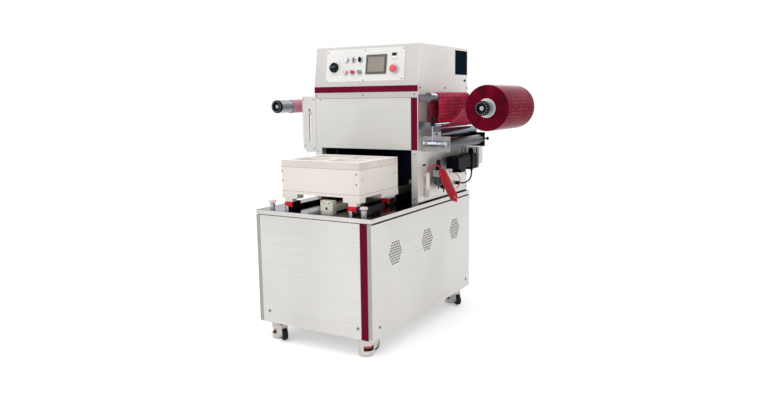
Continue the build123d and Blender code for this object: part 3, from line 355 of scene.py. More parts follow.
def table_material():
    """Sheet that is brushed on its rim and polished on its top, by the upward part of the normal; the top's
    dark colour is a painted dark reflection.
    """
    finish = Finish("table_sheet")
    up = facing(finish, (0, 0, 1))
    lines = finish.noise((3, 420, 3), 4.0, 0.7)
    clouds = finish.noise((5, 5, 5))
    rim = finish.mix(finish.ramp(lines, 0.3, 0.7), linear(196, 193, 189), linear(222, 219, 215))
    # Painted reflection: the dark tones of the polished top
    top = finish.mix(finish.ramp(clouds, 0.35, 0.65), linear(60, 63, 70), linear(88, 92, 98))
    finish.set(
        Base_Color=finish.mix(up, rim, top),
        Metallic=finish.ramp(up, 0, 1, 0.7, 1.0),
        Roughness=finish.ramp(up, 0, 1, 0.36, 0.11),
    )
    finish.bump(lines, 0.03, 0.0003)
    return finish.material


def screen_material():
    """Unlit operator screen: a grey brown glass with a slow drift of tone and a clear coat."""
    finish = Finish("screen_glass")
    drift = finish.noise((6, 6, 6), 2.0)
    grain = finish.noise((900, 900, 900), 1.0)
    finish.set(
        Base_Color=finish.mix(finish.ramp(drift, 0.3, 0.7), linear(132, 121, 112), linear(148, 137, 127)),
        Roughness=finish.ramp(grain, 0.3, 0.7, 0.3, 0.42),
        Coat_Weight=0.15,
        Coat_Roughness=0.08,
    )
    return finish.material


DASHES = {
    "Color1": (1, 1, 1, 1),
    "Color2": (0.35, 0.35, 0.35, 1),
    "Mortar": (0, 0, 0, 1),
    "Scale": 1.0,
    "Mortar Size": 0.0076,
    "Mortar Smooth": 0.4,
    "Brick Width": 0.026,
    "Row Height": 0.019,
}


def marks(finish, where):
    """Staggered rows of short pale dashes from a brick pattern whose joints are wide."""
    bricks = finish.node("ShaderNodeTexBrick", DASHES)
    finish.feed(where, bricks.inputs["Vector"])
    return bricks.outputs["Color"]


def film_material(name, colour, pale, share, clear=1.0, around=1.0, rough=0.4, gloss=0.03):
    """Printed plastic film on its UV map, u across the film and v along it in metres once scaled by around,
    with rows of short pale dashes that fade in and out, and soft creases."""
    finish = Finish(name)
    flat = finish.place((1, around, 1), source="UV")
    dash = marks(finish, flat)
    wave = finish.noise((7, 22 * around, 1), source="UV")
    spots = finish.noise((14, 14 * around, 1), 2.0, shift=(2, 5, 0), source="UV")
    patch = finish.ramp(spots, 0.42, 0.54)
    light, dark = shades(colour, 1.1, 0.86)
    ground = finish.mix(finish.ramp(wave, 0.3, 0.7), dark, light)
    amount = finish.sums("MULTIPLY", finish.sums("MULTIPLY", dash, patch), share)
    shade = finish.mix(amount, ground, linear(*pale))
    finish.set(Base_Color=shade, Roughness=rough, Specular_IOR_Level=gloss, Alpha=clear)
    finish.bump(wave, 0.12, 0.002)
    if clear < 1:
        finish.let_through(0.3, shade)
    return finish.material


def wound_material(name, colour, shaded_colour):
    """Ends of the wound film: fine rings across the radius (u), and a painted reflection of the wound layers:
    soft dark and light sectors round the axis (v) and a few thin bright rays."""
    finish = Finish(name)
    rings = finish.noise((900, 0.01, 1), 2.0, source="UV")
    sectors = finish.noise((0.01, 6, 1), 3.0, 0.6, source="UV")
    rays = finish.ramp(finish.noise((0.4, 30, 1), 2.0, shift=(4, 2, 0), source="UV"), 0.66, 0.78)
    tone = finish.mix(finish.ramp(sectors, 0.36, 0.64), linear(*shaded_colour), linear(*colour))
    # Painted highlight: thin bright rays mixed over the tone
    tone = finish.mix(finish.sums("MULTIPLY", rays, 0.6), tone, linear(188, 52, 64))
    finish.set(
        Base_Color=tone,
        Roughness=finish.ramp(rings, 0.3, 0.7, 0.3, 0.44),
        Specular_IOR_Level=0.03,
    )
    finish.bump(rings, 0.12, 0.0004)
    return finish.material


def clear_wrap_material():
    """Thin clear wrapping with soft creases, mostly see-through, with bright edges."""
    finish = Finish("clear_wrap")
    crease = finish.noise((60, 60, 14), 4.0, 0.65)
    finish.set(
        Base_Color=linear(160, 74, 82),
        Roughness=0.2,
        Specular_IOR_Level=0.12,
        Alpha=finish.ramp(crease, 0.35, 0.75, 0.02, 0.22),
    )
    finish.bump(crease, 0.6, 0.003)
    return finish.material


# Heights in metres where two colours meet: a cap's above the table, a levelling dial's above the floor
CAP_SPLIT = 0.014
DIAL_SPLIT = 0.0415
rail_cap = split_material("rail_cap", TABLE / 1000 + CAP_SPLIT, (22, 20, 26), (230, 40, 54), (206, 30, 44))
dial = split_material("levelling_dial", DIAL_SPLIT, (16, 16, 20), (204, 96, 42), (120, 44, 22))
table_sheet = table_material()
screen_glass = screen_material()

# Metres once round the roll and the waste film
ROLL_ROUND = 0.738
WASTE_ROUND = 0.24
film_print = film_material("printed_film", (204, 58, 94), (240, 184, 188), 0.45, clear=0.94)
film_side = film_material(
    "roll_side", (124, 8, 42), (214, 130, 146), 0.4, around=ROLL_ROUND, rough=0.16, gloss=0.006
)
film_waste = film_material("waste_web", (208, 140, 158), (240, 206, 214), 0.45, around=WASTE_ROUND)
wound_end = wound_material("wound_ends", (122, 4, 36), (74, 4, 24))
clear_wrap = clear_wrap_material()


# Mesh makers


def add_object(name, data):
    """An object with this data, linked to the scene."""
    made = bpy.data.objects.new(name, data)
    bpy.context.scene.collection.objects.link(made)
    return made


def rows_of(items, key, width=3, kind=float):
    """What all the items of a mesh say for key, as an array with width numbers to a row."""
    values = np.empty(len(items) * width, dtype=kind)
    items.foreach_get(key, values)
    return values.reshape(-1, width)


def thicken(piece, thickness, offset=-1):
    """Gives a bare surface a thickness in metres, to the side that offset says."""
    solid = piece.modifiers.new("thickness", "SOLIDIFY")
    solid.thickness = thickness
    solid.offset = offset


def round_edges(piece, edge):
    """Rounds a piece's sharp edges by edge millimetres."""
    bevel = piece.modifiers.new("edge", "BEVEL")
    bevel.width = edge / 1000
    bevel.segments = 2
    bevel.limit_method = "ANGLE"
    bevel.angle_limit = math.radians(32)
    bevel.harden_normals = False


def new_piece(name, points, faces, materials, body, uv=None, weld=1e-5):
    """A mesh object from arrays of points and faces, merged where points meet, that rides on a body."""
    mesh = bpy.data.meshes.new(name)
    mesh.from_pydata(np.asarray(points, dtype=float).tolist(), [], np.asarray(faces).tolist())
    if uv is not None:
        layer = mesh.uv_layers.new(name="UVMap")
        layer.data.foreach_set("uv", np.asarray(uv, dtype=np.float32).ravel())
    if weld:
        work = bmesh.new()
        work.from_mesh(mesh)
        bmesh.ops.remove_doubles(work, verts=work.verts, dist=weld)
        bmesh.ops.recalc_face_normals(work, faces=work.faces)
        work.to_mesh(mesh)
        work.free()
    return finish_piece(name, mesh, materials, body)


def finish_piece(name, mesh, materials, body, smooth=35):
    """Materials, smooth shading with sharp edges past the angle, and the body that the piece rides on."""
    piece = add_object(name, mesh)
    for material in materials if isinstance(materials, list) else [materials]:
        mesh.materials.append(material)
    mesh.polygons.foreach_set("use_smooth", np.ones(len(mesh.polygons), dtype=bool))
    mesh.set_sharp_from_angle(angle=math.radians(smooth))
    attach(piece, body)
    return piece


def grid_faces(rows, columns, closed=False):
    """Quads of a rows by columns grid of points, closed round the columns if wanted."""
    across = columns if closed else columns - 1
    row, column = np.meshgrid(np.arange(rows - 1), np.arange(across), indexing="ij")
    beside = (column + 1) % columns
    start = row * columns
    after = start + columns
    return np.stack((start + column, start + beside, after + beside, after + column), -1).reshape(-1, 4)


def turned(profile, count=48):
    """A surface of revolution about +Z: each (radius, height) of the profile swept round, at r cos a, r sin a
    and h."""
    profile = np.asarray(profile, dtype=float)
    angle = np.linspace(0, FULL_TURN, count, endpoint=False)
    radius = profile[:, :1]
    height = np.repeat(profile[:, 1:], count, axis=1)
    points = np.stack((radius * np.cos(angle), radius * np.sin(angle), height), -1).reshape(-1, 3)
    return points, grid_faces(len(profile), count, True)


def turn_to(points, direction, place):
    """Points made about +Z, turned so that +Z looks along direction, then moved to place (metres)."""
    turn = np.array(Vector((0, 0, 1)).rotation_difference(Vector(direction)).to_matrix())
    return points @ turn.T + np.asarray(place)


def turned_piece(name, profile, count, direction, place, material, body="root"):
    """A turned piece with its profile in millimetres, its axis along direction and its start at place."""
    points, faces = turned(np.array(profile) / 1000, count)
    return new_piece(name, turn_to(points, direction, place), faces, material, body)


def copies(points, faces, places, direction):
    """One mesh of the same shape at each place: the points are repeated and the face numbers stepped on."""
    turned_points = turn_to(points, direction, (0, 0, 0))
    places = np.asarray(places, dtype=float).reshape(-1, 3)
    all_points = (places[:, None, :] + turned_points[None]).reshape(-1, 3)
    steps = np.arange(len(places))[:, None, None] * len(points)
    return all_points, (faces[None] + steps).reshape(-1, 4)


def dome_profile(radius, height, socket=0.0):
    """A low domed head: height times sqrt(1 - (r / radius) ^ 2), with a socket of the given radius in its
    middle. Its foot goes 0.2 of the height below the seat, and the socket 0.6 of its rim's height down."""
    reach = np.linspace(0, math.pi / 2, 9)[::-1]
    rim = np.stack((radius * np.sin(reach), height * np.cos(reach)), -1)
    if not socket:
        return np.vstack(([[0, 0]], [[radius, 0]], rim[1:-1], [[0, height]]))
    crown = rim[rim[:, 0] > socket]
    lip = height * math.sqrt(1 - (socket / radius) ** 2)
    foot = -height * 0.2
    floor = lip * 0.4
    return np.vstack(([[0, foot]], [[radius, foot]], crown, [[socket, lip]], [[socket, floor]], [[0, floor]]))


def screws(name, places, direction, radius, height, material, body="root", socket=0.42):
    """Domed screw heads with a socket, all in one mesh, 0.2 of their height sunk in the sheet."""
    points, faces = turned(dome_profile(radius, height, radius * socket) / 1000, 20)
    points, faces = copies(points, faces, places, direction)
    new_piece(name, points, faces, material, body)


def dress(node, materials, edge=0.6, pick=None):
    """A CAD node's shape with rounded edges: its points merged, flat triangles joined, edges bevelled by
    edge millimetres. pick(centres, normals) gives each face's material number."""
    data = frame["nodes"][node].data
    points = rows_of(data.vertices, "co")
    corners = rows_of(data.loops, "vertex_index", 1, int).reshape(-1, 3)
    mesh = bpy.data.meshes.new(node + "_finish")
    mesh.from_pydata(points.tolist(), [], corners.tolist())
    work = bmesh.new()
    work.from_mesh(mesh)
    bmesh.ops.remove_doubles(work, verts=work.verts, dist=2e-6)
    bmesh.ops.dissolve_limit(
        work, angle_limit=math.radians(0.5), use_dissolve_boundaries=False, verts=work.verts, edges=work.edges
    )
    work.to_mesh(mesh)
    work.free()
    piece = finish_piece(mesh.name, mesh, materials, body_of(frame["nodes"][node])[0], smooth=28)
    if pick:
        numbers = pick(rows_of(mesh.polygons, "center"), rows_of(mesh.polygons, "normal"))
        mesh.polygons.foreach_set("material_index", np.asarray(numbers, dtype=np.int32))
    if edge:
        round_edges(piece, edge)
    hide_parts(node)


# Camera

CAMERA_PLACE = Vector((1.92425, -3.26745, 1.2582))
CAMERA_AZIMUTH = math.radians(30.442)
CAMERA_ELEVATION = math.radians(9.145)
CAMERA_ROLL = math.radians(-0.731)
CAMERA_LENS = 32.06


def add_camera():
    """Camera whose back vector comes from azimuth and elevation, turned about it by the roll."""
    back = Vector(
        (
            math.sin(CAMERA_AZIMUTH) * math.cos(CAMERA_ELEVATION),
            -math.cos(CAMERA_AZIMUTH) * math.cos(CAMERA_ELEVATION),
            math.sin(CAMERA_ELEVATION),
        )
    )
    right = Vector((0, 0, 1)).cross(back).normalized()
    up = back.cross(right)
    rolled_right = right * math.cos(CAMERA_ROLL) + up * math.sin(CAMERA_ROLL)
    rolled_up = up * math.cos(CAMERA_ROLL) - right * math.sin(CAMERA_ROLL)
    data = bpy.data.cameras.new("camera")
    data.lens = CAMERA_LENS
    data.sensor_width = 36
    data.clip_end = 200
    camera = add_object("camera", data)
    turn = Matrix((rolled_right, rolled_up, back)).transposed().to_4x4()
    camera.matrix_world = Matrix.Translation(CAMERA_PLACE) @ turn
    bpy.context.scene.camera = camera


add_camera()


# Hoses and cable


def cord_curve(name, route, diameter, material):
    """A round cord along a smooth spline whose control points are the route, in metres."""
    curve = bpy.data.curves.new(name, "CURVE")
    curve.dimensions = "3D"
    curve.bevel_depth = diameter / 2
    curve.bevel_resolution = 5
    curve.resolution_u = 6
    curve.use_fill_caps = True
    spline = curve.splines.new("NURBS")
    spline.points.add(len(route) - 1)
    flat = np.column_stack((route, np.ones(len(route)))).ravel()
    spline.points.foreach_set("co", flat.astype(np.float32))
    spline.order_u = 3
    spline.use_endpoint_u = True
    curve.materials.append(material)
    return add_object(name, curve)


# Places of the routes' control points, heights over the table; the flow meter's top starts the air hose
METER_X = 347
METER_Y = 597
METER_TOP = 161
arc_points = [
    (0, 0, 0), (0, 0, 11), (5, 2, 27), (18, 5, 39), (35, 9, 45), (52, 14, 43), (62, 21, 32), (66, 28, 17)
]
air_points = [(METER_X + x, METER_Y + y, METER_TOP + z) for x, y, z in arc_points]
vent_points = [
    (348, 892, 137), (352, 910, 136), (362, 937, 124), (371, 960, 101), (373, 970, 72), (366, 960, 46),
    (354, 938, 34),
]
cable_points = [
    (354, 1000, 62), (372, 1000, 62), (396, 1002, 68), (416, 1006, 85), (425, 1012, 111), (425, 1012, 137)
]

HOSE = 0.006
HANK_LENGTH = 206
HANK_LEGS = 16
HANK_REACH = 20.4
FOLD_STEP = 5.6
HANK_TOP = 9
HANK_FOOT = 22
FOLD_OUT = 1.3
FOLD_OVER = 1.15
FOLD_WIDE = 1.05


def hank_frame():
    """Start of the hank, its direction, and two directions across it."""
    end = np.array(air_points[-1], dtype=float)
    axis = end - np.array(air_points[-2], dtype=float)
    axis /= np.linalg.norm(axis)
    across = np.cross(axis, (0, 0, 1))
    across /= np.linalg.norm(across)
    return end, axis, across, np.cross(axis, across)


def hank_route():
    """Nested lengthwise turns. Leg k runs along the axis at the angle 202.5 k degrees on a circle, and each
    fold crosses the middle on a stretched half circle, about a hose's width further in than the last."""
    end, axis, across, other = hank_frame()

    def spot(angle, reach, depth):
        return end + axis * depth + (across * math.cos(angle) + other * math.sin(angle)) * reach

    route = []
    step = math.radians(180 + 360 / HANK_LEGS)
    for leg in range(HANK_LEGS):
        angle = leg * step
        fold = leg // 2
        down = leg % 2 == 0
        top = HANK_TOP + FOLD_STEP * ((leg + 1) // 2)
        bottom = HANK_LENGTH - HANK_FOOT - FOLD_STEP * fold
        middle = (top + bottom) / 2
        depths = [top, top + 8, middle - 20, middle + 20, bottom - 8, bottom]
        if leg == 0:
            depths = [14, 28] + depths[2:]
        if not down:
            depths = depths[::-1]
        route += [spot(angle, HANK_REACH, depth) for depth in depths]
        if leg < HANK_LEGS - 1:
            turn = bottom if down else top
            sign = 1 if down else -1
            following = angle + step
            for lean in (45, 90, 135):
                stretch = FOLD_OVER if lean == 90 else FOLD_OUT
                lift = math.sin(math.radians(lean)) * HANK_REACH * stretch
                reach = math.cos(math.radians(lean)) * HANK_REACH * FOLD_WIDE
                bend = angle if lean < 90 else following
                route.append(spot(bend, abs(reach), turn + sign * lift))
    return route


air_route = above(*np.array(air_points + [tuple(point) for point in hank_route()]).T)
air_hose = cord_curve("red_air_hose", air_route, HOSE, hose_red)
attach(air_hose, "root")
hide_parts("air_hose", "hose_hank")

vent_route = above(*np.array(vent_points).T)
vent_hose = cord_curve("orange_vent_hose", vent_route, HOSE, hose_orange)
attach(vent_hose, "root")
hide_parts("vent_hose")

cable_route = above(*np.array(cable_points).T)
motor_cable = cord_curve("black_motor_cable", cable_route, 0.009, cable_black)
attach(motor_cable, "root")
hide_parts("motor_cable")


def hose_end():
    """Push-in plug on the hose's last turn: a ribbed body, r stepping between two radii along its length."""
    last = air_route[-1]
    direction = last - air_route[-2]
    ribs = [(3.6, 3), (4.4, 3.4), (4.4, 6), (3.8, 6.4), (3.8, 8), (4.4, 8.4), (4.4, 11)]
    profile = [(0, 0), (3.6, 0), *ribs, (3, 12), (0, 12)]
    start = last - direction / np.linalg.norm(direction) * 0.002
    return turned_piece("hose_end_plug", profile, 24, direction, start, black_plastic)


hose_plug = hose_end()


def hank_wrap():
    """Clear wrapping round the hank: rings of radius r0 + a sin(5 angle + 0.11 d) along its axis, drawn in at
    its ends."""
    end, axis, across, other = hank_frame()
    depth = np.concatenate((np.linspace(52, 58, 4), np.linspace(62, 172, 34), np.linspace(175, 182, 4)))
    draw_in = np.concatenate((np.linspace(2.2, 0.4, 4), np.zeros(34), np.linspace(0.4, 3.4, 4)))
    angle = np.linspace(0, FULL_TURN, 56, endpoint=False)
    along, around = np.meshgrid(depth, angle, indexing="ij")
    radius = HANK_REACH + 3.9 - draw_in[:, None] + 0.35 * np.sin(5 * around + 0.11 * along)
    spot = along[..., None] * axis + (radius * np.cos(around))[..., None] * across
    spot = end + spot + (radius * np.sin(around))[..., None] * other
    points = above(spot[..., 0], spot[..., 1], spot[..., 2]).reshape(-1, 3)
    wrap = new_piece("hank_wrap", points, grid_faces(len(depth), 56, True), clear_wrap, "root", weld=0)
    thicken(wrap, 0.0002)


hank_wrap()


# Cabinet and head in sheet


VENT_LOW = 200
VENT_HIGH = 655


def inner_sides(centres, normals):
    """1 on the panels' inner sides, whose normals look back at the middle, and on the vent holes' walls,
    which get painted shade.
    """
    x, y, height = in_drawing(centres)
    side = HALF_CABINET - 7
    across = (np.abs(x) > side) & (normals[:, 0] * x < -0.9 * np.abs(x))
    along = ((y < 8) & (normals[:, 1] > 0.9)) | ((y > CABINET_DEPTH - 8) & (normals[:, 1] < -0.9))
    vents = (y > 20) & (y < CABINET_DEPTH - 20) & (height > VENT_LOW) & (height < VENT_HIGH)
    holes = (x > side) & (np.abs(normals[:, 0]) < 0.1) & vents
    return (across | along | holes).astype(int)


dress("base_panels", [steel, inside_painted_shade], 0.5, inner_sides)
dress("corner_posts", steel_post, 0.8)
dress("base_floor", steel, 0.8)
dress("table_top", table_sheet, 1.2)
dress("trim_stripes", burgundy, 0.4)
dress("head_left_wall", steel_left_wall, 0.8)
dress("head_right_wall", steel_right_wall_lit, 0.8)
dress("head_cover", steel_cover, 0.8)
dress("control_fascia", steel_fascia_shaded, 0.7)
dress("front_cover", steel_front, 0.7)
dress("front_columns", steel_upright, 1.0)
dress("press_frame", dark_metal, 1.5)
dress("upper_tool", dark_metal, 2.0)
dress("slot_plates", steel_upright, 0.6)
dress("rear_plate", steel, 0.5)
dress("shaft_supports", steel, 1.0)
dress("nip_frame", [steel_dull, black_paint], 0.8, lambda centres, normals: centres[:, 1] > FRONT_Y + 1.0)


# Drawer

dress("die_body", cream, 1.4)
# Painted light: the top plate's upward faces get a brighter cream than its sides
dress("die_top_plate", [cream_dull, cream_lit_top], 1.6, lambda centres, normals: normals[:, 2] > 0.9)
dress("slide_rails", [rail_steel, rail_end], 0.6, lambda centres, normals: normals[:, 1] < -0.9)
dress("drive_cylinder", silver_cream, 1.0)

CAP = 0.0072
CARRIAGE = 0.078
carriage_low, carriage_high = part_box("die_carriages")


def carriage_faces(centres, normals):
    """Red on the end caps: the outer 7 mm of each carriage along Y."""
    y = centres[:, 1]
    front_pair = y < carriage_low[1] + CAP
    back_pair = y > carriage_high[1] - CAP
    inner_front = np.abs(y - (carriage_low[1] + CARRIAGE - CAP / 2)) < CAP / 2 + 0.0002
    inner_back = np.abs(y - (carriage_high[1] - CARRIAGE + CAP / 2)) < CAP / 2 + 0.0002
    return (front_pair | back_pair | inner_front | inner_back).astype(int)


dress("die_carriages", [dark_metal, rail_cap], 0.6, carriage_faces)
dress("button_collars", aluminium, 0.5)
dress("palm_button_left", palm_cap, 0.8)
dress("palm_button_right", palm_cap, 0.8)


# Control panel

dress("control_plate", steel_plate, 0.5)
ROCKER_SPLIT = 158
rocker_height = (FOLD + ROCKER_SPLIT * math.cos(LEAN)) / 1000
rocker_two = split_material("rocker_switch", rocker_height, (238, 238, 236), (14, 18, 32), (22, 26, 40))
SLOPE = np.array((0.0, math.sin(LEAN), math.cos(LEAN)))
FACE = np.array((0.0, -math.cos(LEAN), math.sin(LEAN)))


def on_face(x, s, height=0.0):
    """Metres in the frame of a place on the slanted face: x across, s up the slope, height off it."""
    start = at(x, HEAD_FRONT, FOLD)
    return start + SLOPE * (np.asarray(s)[..., None] / 1000) + FACE * (height / 1000)


def face_height(centres):
    """How far points stand off the slanted face, in millimetres."""
    return (centres - on_face(0, 0)) @ FACE * 1000


def face_x(centres):
    """How far right of the middle points lie, in millimetres."""
    return (centres[:, 0] - CENTRE_X) * 1000


def face_s(centres):
    """How far up the slope points lie, in millimetres."""
    return (centres - on_face(0, 0)) @ SLOPE * 1000


def collar_faces(centres, normals):
    """Silver collars, white switch base, pale lens of the lamp, white and navy rocker, lilac stop ring."""
    x = face_x(centres)
    s = face_s(centres)
    height = face_height(centres)
    numbers = np.zeros(len(centres))
    numbers[x < -150] = 1
    numbers[(np.abs(x + 123) < 16) & (s < 95) & (height > 9.3)] = 2
    rocker = (x > 160) & (s > 130)
    numbers[rocker] = 1
    numbers[rocker & (height > 7.4)] = 3
    numbers[(x > 150) & (s < 125)] = 4
    return numbers


dress("control_collars", [chrome, white_plastic, pale_red, rocker_two, lilac_ring], 0.4, collar_faces)
dress(
    "touch_panel",
    [bezel, screen_glass],
    0.4,
    lambda centres, normals: (np.abs(face_height(centres) - 7.0) < 0.4) & (np.abs(face_x(centres) - 71) < 50),
)
dress(
    "main_switch_knob",
    [black_plastic, knob_grip],
    1.2,
    lambda centres, normals: face_height(centres) > face_height(centres).max() - 0.5,
)
dress("start_button", white_plastic, 0.8)
dress("mode_selector", [red_cap, aluminium], 0.8, lambda centres, normals: face_height(centres) > 10.4)
dress("film_selector", black_plastic, 0.8)
dress("red_button", red_cap, 0.8)
dress("green_button", green_cap, 0.8)
dress("stop_button", stop_red, 0.5)

plate_screws = [(-245, 190), (-4, 194), (237, 195), (232, 35), (-9, 32), (-248, 31)]
screws("panel_screws", [on_face(x, s, 2.0) for x, s in plate_screws], FACE, 3.4, 1.6, screw_dark)


# Fasteners and plates on the sheet


def slab(name, low, high, material, body="root", edge=0.5):
    """A thin plate or strip between two corners in the drawing's millimetres, its edges rounded. Its eight
    points are low + (high - low) * pick, where each part of pick is 0 or 1."""
    low, high = at(*low), at(*high)
    pick = np.array([(i, j, k) for i in (0, 1) for j in (0, 1) for k in (0, 1)])
    points = low + (high - low) * pick
    faces = [(0, 1, 3, 2), (4, 6, 7, 5), (0, 4, 5, 1), (2, 3, 7, 6), (0, 2, 6, 4), (1, 5, 7, 3)]
    round_edges(new_piece(name, points, faces, material, body), edge)


screws("front_screws", [at(-284, 0, 159), at(266, 0, 149)], (0, -1, 0), 8, 5, screw_steel)
side_places = [(68, 150), (1107, 146)]
screws("side_screws", [at(HALF_CABINET, y, z) for y, z in side_places], (1, 0, 0), 8, 5, screw_steel)
wall_places = [(543, 1310), (848, 1310), (1149, 1310), (1143, 797), (1147, 720)]
screws("wall_screws", [at(HALF_HEAD, y, z) for y, z in wall_places], (1, 0, 0), 5.5, 3.2, screw_dark)
screws("wall_plug", [at(HALF_HEAD, 1118, 1353)], (1, 0, 0), 8, 7, black_plastic, socket=0)
band_places = [(-317, 1274), (-8, 1275), (309, 1275), (-317, 961), (309, 960), (309, 721), (-317, 721)]
screws("head_screws", [at(x, HEAD_FRONT, z) for x, z in band_places], (0, -1, 0), 3.6, 1.8, screw_dark)
plate_places = [(-412, 1253), (-341, 1253), (-341, 975), (-404, 990)]
screws("slot_plate_screws", [at(x, HEAD_FRONT, z) for x, z in plate_places], (0, -1, 0), 3.6, 1.8, screw_dark)
screws("cover_screws", [at(-289, HEAD_FRONT, 1252)], (0, -1, 0), 3, 1.6, screw_dark)

slab("label_plate", (329.8, 984, 1386), (331, 1153, 1524), label_plate)
slab("wall_cable_slot", (329.6, 571, 893), (331.2, 605, 904), black_plastic, edge=0.7)
slab("wall_gasket", (329.8, 519, 695.2), (331.6, 1150, 701), gap_dark)
# Painted shade: dark strips along the side panels' top edges stand for the shadow gap under the table top
slab("table_gap_shade_right", (349.2, 3, 664.5), (350.5, 1157, 668.8), gap_dark, edge=0.4)
slab("table_gap_shade_left", (-350.5, 3, 664.5), (-349.2, 1157, 668.8), gap_dark, edge=0.4)
slab("drive_guard", (342, 1050.2, 848), (450, 1060, 969), black_paint, edge=2)

SLOT_X = -371
SLOT_HALF = 5.5
GUIDE = 5
for where, y in {"front": 522, "rear": 1028.6}.items():
    for side, left in {"outer": SLOT_X - SLOT_HALF - GUIDE, "inner": SLOT_X + SLOT_HALF}.items():
        name = "slot_guide_" + where + "_" + side
        slab(name, (left, y, 1003), (left + GUIDE, y + 5.4, 1211), black_plastic, edge=0.6)


# Die and drive details

DIE_HALF = 238
DIE_FRONT = 80
DIE_BACK = 465
SEAM = 0.4
SEAM_HALF = 0.9
BLOCK_FRONT = 45
die_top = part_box("die_body")[1][2] * 1000 - TABLE
for name, height in {"die_top_seam": die_top, "die_base_seam": 97}.items():
    low = (-DIE_HALF - SEAM, DIE_FRONT - SEAM, TABLE + height - SEAM_HALF)
    high = (DIE_HALF + SEAM, DIE_BACK + SEAM, TABLE + height + SEAM_HALF)
    slab(name, low, high, seam_shade, "drawer", 0.3)
die_holes = [at(x, DIE_FRONT, z) for x, z in [(221, 894), (221, 843), (-231, 894), (-231, 843)]]
screws("die_screws", die_holes, (0, -1, 0), 4.2, 1.2, screw_dark, "drawer")
side_holes = [at(DIE_HALF, y, z) for y, z in [(268, 941), (110, 868), (430, 868)]]
screws("die_side_screws", side_holes, (1, 0, 0), 3.4, 1, screw_dark, "drawer")
block_holes = [(37, 756), (95, 756), (37, 704), (95, 704), (52, 748), (81, 748)]
screws("block_screws", [at(x, BLOCK_FRONT, z) for x, z in block_holes], (0, -1, 0), 3.4, 1, screw_dark)
screws("block_port", [at(66, BLOCK_FRONT, 722)], (0, -1, 0), 6.5, 3, black_plastic, socket=0.5)
screws("block_top_port", [at(66, 60, 761)], (0, 0, 1), 6, 5, screw_steel, socket=0.5)


# Casters


def caster_faces(centre):
    """The pick for the caster that stands at centre, by each face's reach from it and height."""

    def numbers(centres, normals):
        """Two-coloured dial, rubber foot, cast body."""
        reach = np.hypot(centres[:, 0] - centre[0], centres[:, 1] - centre[1]) * 1000
        height = centres[:, 2] * 1000
        chosen = np.zeros(len(centres))
        chosen[(reach > 8.4) & (reach < 30.6) & (height > 27.5) & (height < 54.5)] = 1
        chosen[(height < 20.5) & (reach < 27.5)] = 2
        return chosen

    return numbers


for corner, place in {
    "front_left": (-274, 60),
    "front_right": (274, 60),
    "rear_left": (-274, 1062),
    "rear_right": (274, 1062),
}.items():
    dress("caster_" + corner, [cast, dial, rubber], 0.8, caster_faces(at(*place, 0)))
    dress("wheel_" + corner, rubber, 0.8)


# Film unit

UNWIND = (675, 505)
REWIND = (-590, 520)
FILM_FRONT = 615
FILM_BACK = 1020
MANDREL = 37
ALONG = (0, 1, 0)


def run_lengths(points):
    """The length along a run of points at each of them, from 0."""
    return np.concatenate(([0], np.cumsum(np.linalg.norm(np.diff(points, axis=0), axis=1))))


def around_map(lengths, count):
    """UV map of a tube's quads: u is the length at each ring in metres, v the angle as a share of a turn."""
    column = np.arange(count)
    turn = np.stack((column, column + 1, column + 1, column), -1) / count
    reach = np.stack((lengths[:-1], lengths[:-1], lengths[1:], lengths[1:]), -1)[:, None]
    shape = (len(lengths) - 1, count, 4)
    return np.stack((np.broadcast_to(reach, shape), np.broadcast_to(turn, shape)), -1).reshape(-1, 2)


def film_roll():
    """Wound film: a hollow cylinder with its rim rounded and its ends a little dished, about the shaft."""
    reach = 117.4
    inner = 49.3
    depth = FILM_BACK - FILM_FRONT
    count = 160
    profile = [(inner, 1.2), (inner + 6, 0.6), (reach - 3, 0.1), (reach - 0.9, 0.3), (reach, 1.4)]
    profile += [(reach, depth - 1.4), (reach - 0.9, depth - 0.3), (reach - 3, depth - 0.1)]
    profile += [(inner, depth - 1), (inner, 1.2)]
    profile = np.array(profile) / 1000
    points, faces = turned(profile, count)
    points = turn_to(points, ALONG, above(UNWIND[0], FILM_FRONT, UNWIND[1]))
    uv = around_map(run_lengths(profile), count)
    roll = new_piece("wound_film_roll", points, faces, [film_side, wound_end], "unwind", uv=uv, weld=1e-6)
    ends = np.abs(rows_of(roll.data.polygons, "normal")[:, 1]) > 0.5
    roll.data.polygons.foreach_set("material_index", ends.astype(np.int32))
    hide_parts("film_roll")


def film_core():
    """The tube that the film is wound on: a ring with a rounded front lip."""
    inner = MANDREL + 0.15
    outer = 49
    lip = 1.2
    front = FILM_FRONT - 7
    back = FILM_BACK - 2
    ring = [(inner, front), (outer - lip, front), (outer, front + lip), (outer, back), (inner, back)]
    ring.append(ring[0])
    turned_piece("film_core", ring, 96, ALONG, above(UNWIND[0], 0, UNWIND[1]), aluminium, "unwind")


film_roll()
film_core()


def shaft_nose(name, place, front, body):
    """Black end cap of the air shaft: a dished ring with a valve button in its middle and pips round it."""
    start = above(place[0], front, place[1])
    rim = [(0, 8.6), (23.4, 8.6), (23.4, 0), (24.4, -1.4), (34, -2), (36.4, -1), (37.5, 1)]
    rim += [(37.5, 12), (0, 12)]
    turned_piece(name + "_cap", rim, 72, ALONG, start, black_plastic, body)
    button = [(0, -2.5), (3.4, -2), (4.6, 0), (4.6, 3), (10.6, 3.4), (12, 5), (12, 9), (0, 9)]
    turned_piece(name + "_valve", button, 40, ALONG, start, chrome, body)
    angles = np.linspace(0, FULL_TURN, 14, endpoint=False)
    reach = 29.5
    pips, pip_faces = turned(dome_profile(2.0, 1.2) / 1000, 10)
    places = above(place[0] + reach * np.cos(angles), front - 1.8, place[1] + reach * np.sin(angles))
    pips, pip_faces = copies(pips, pip_faces, places, (0, -1, 0))
    new_piece(name + "_pips", pips, pip_faces, aluminium, body)


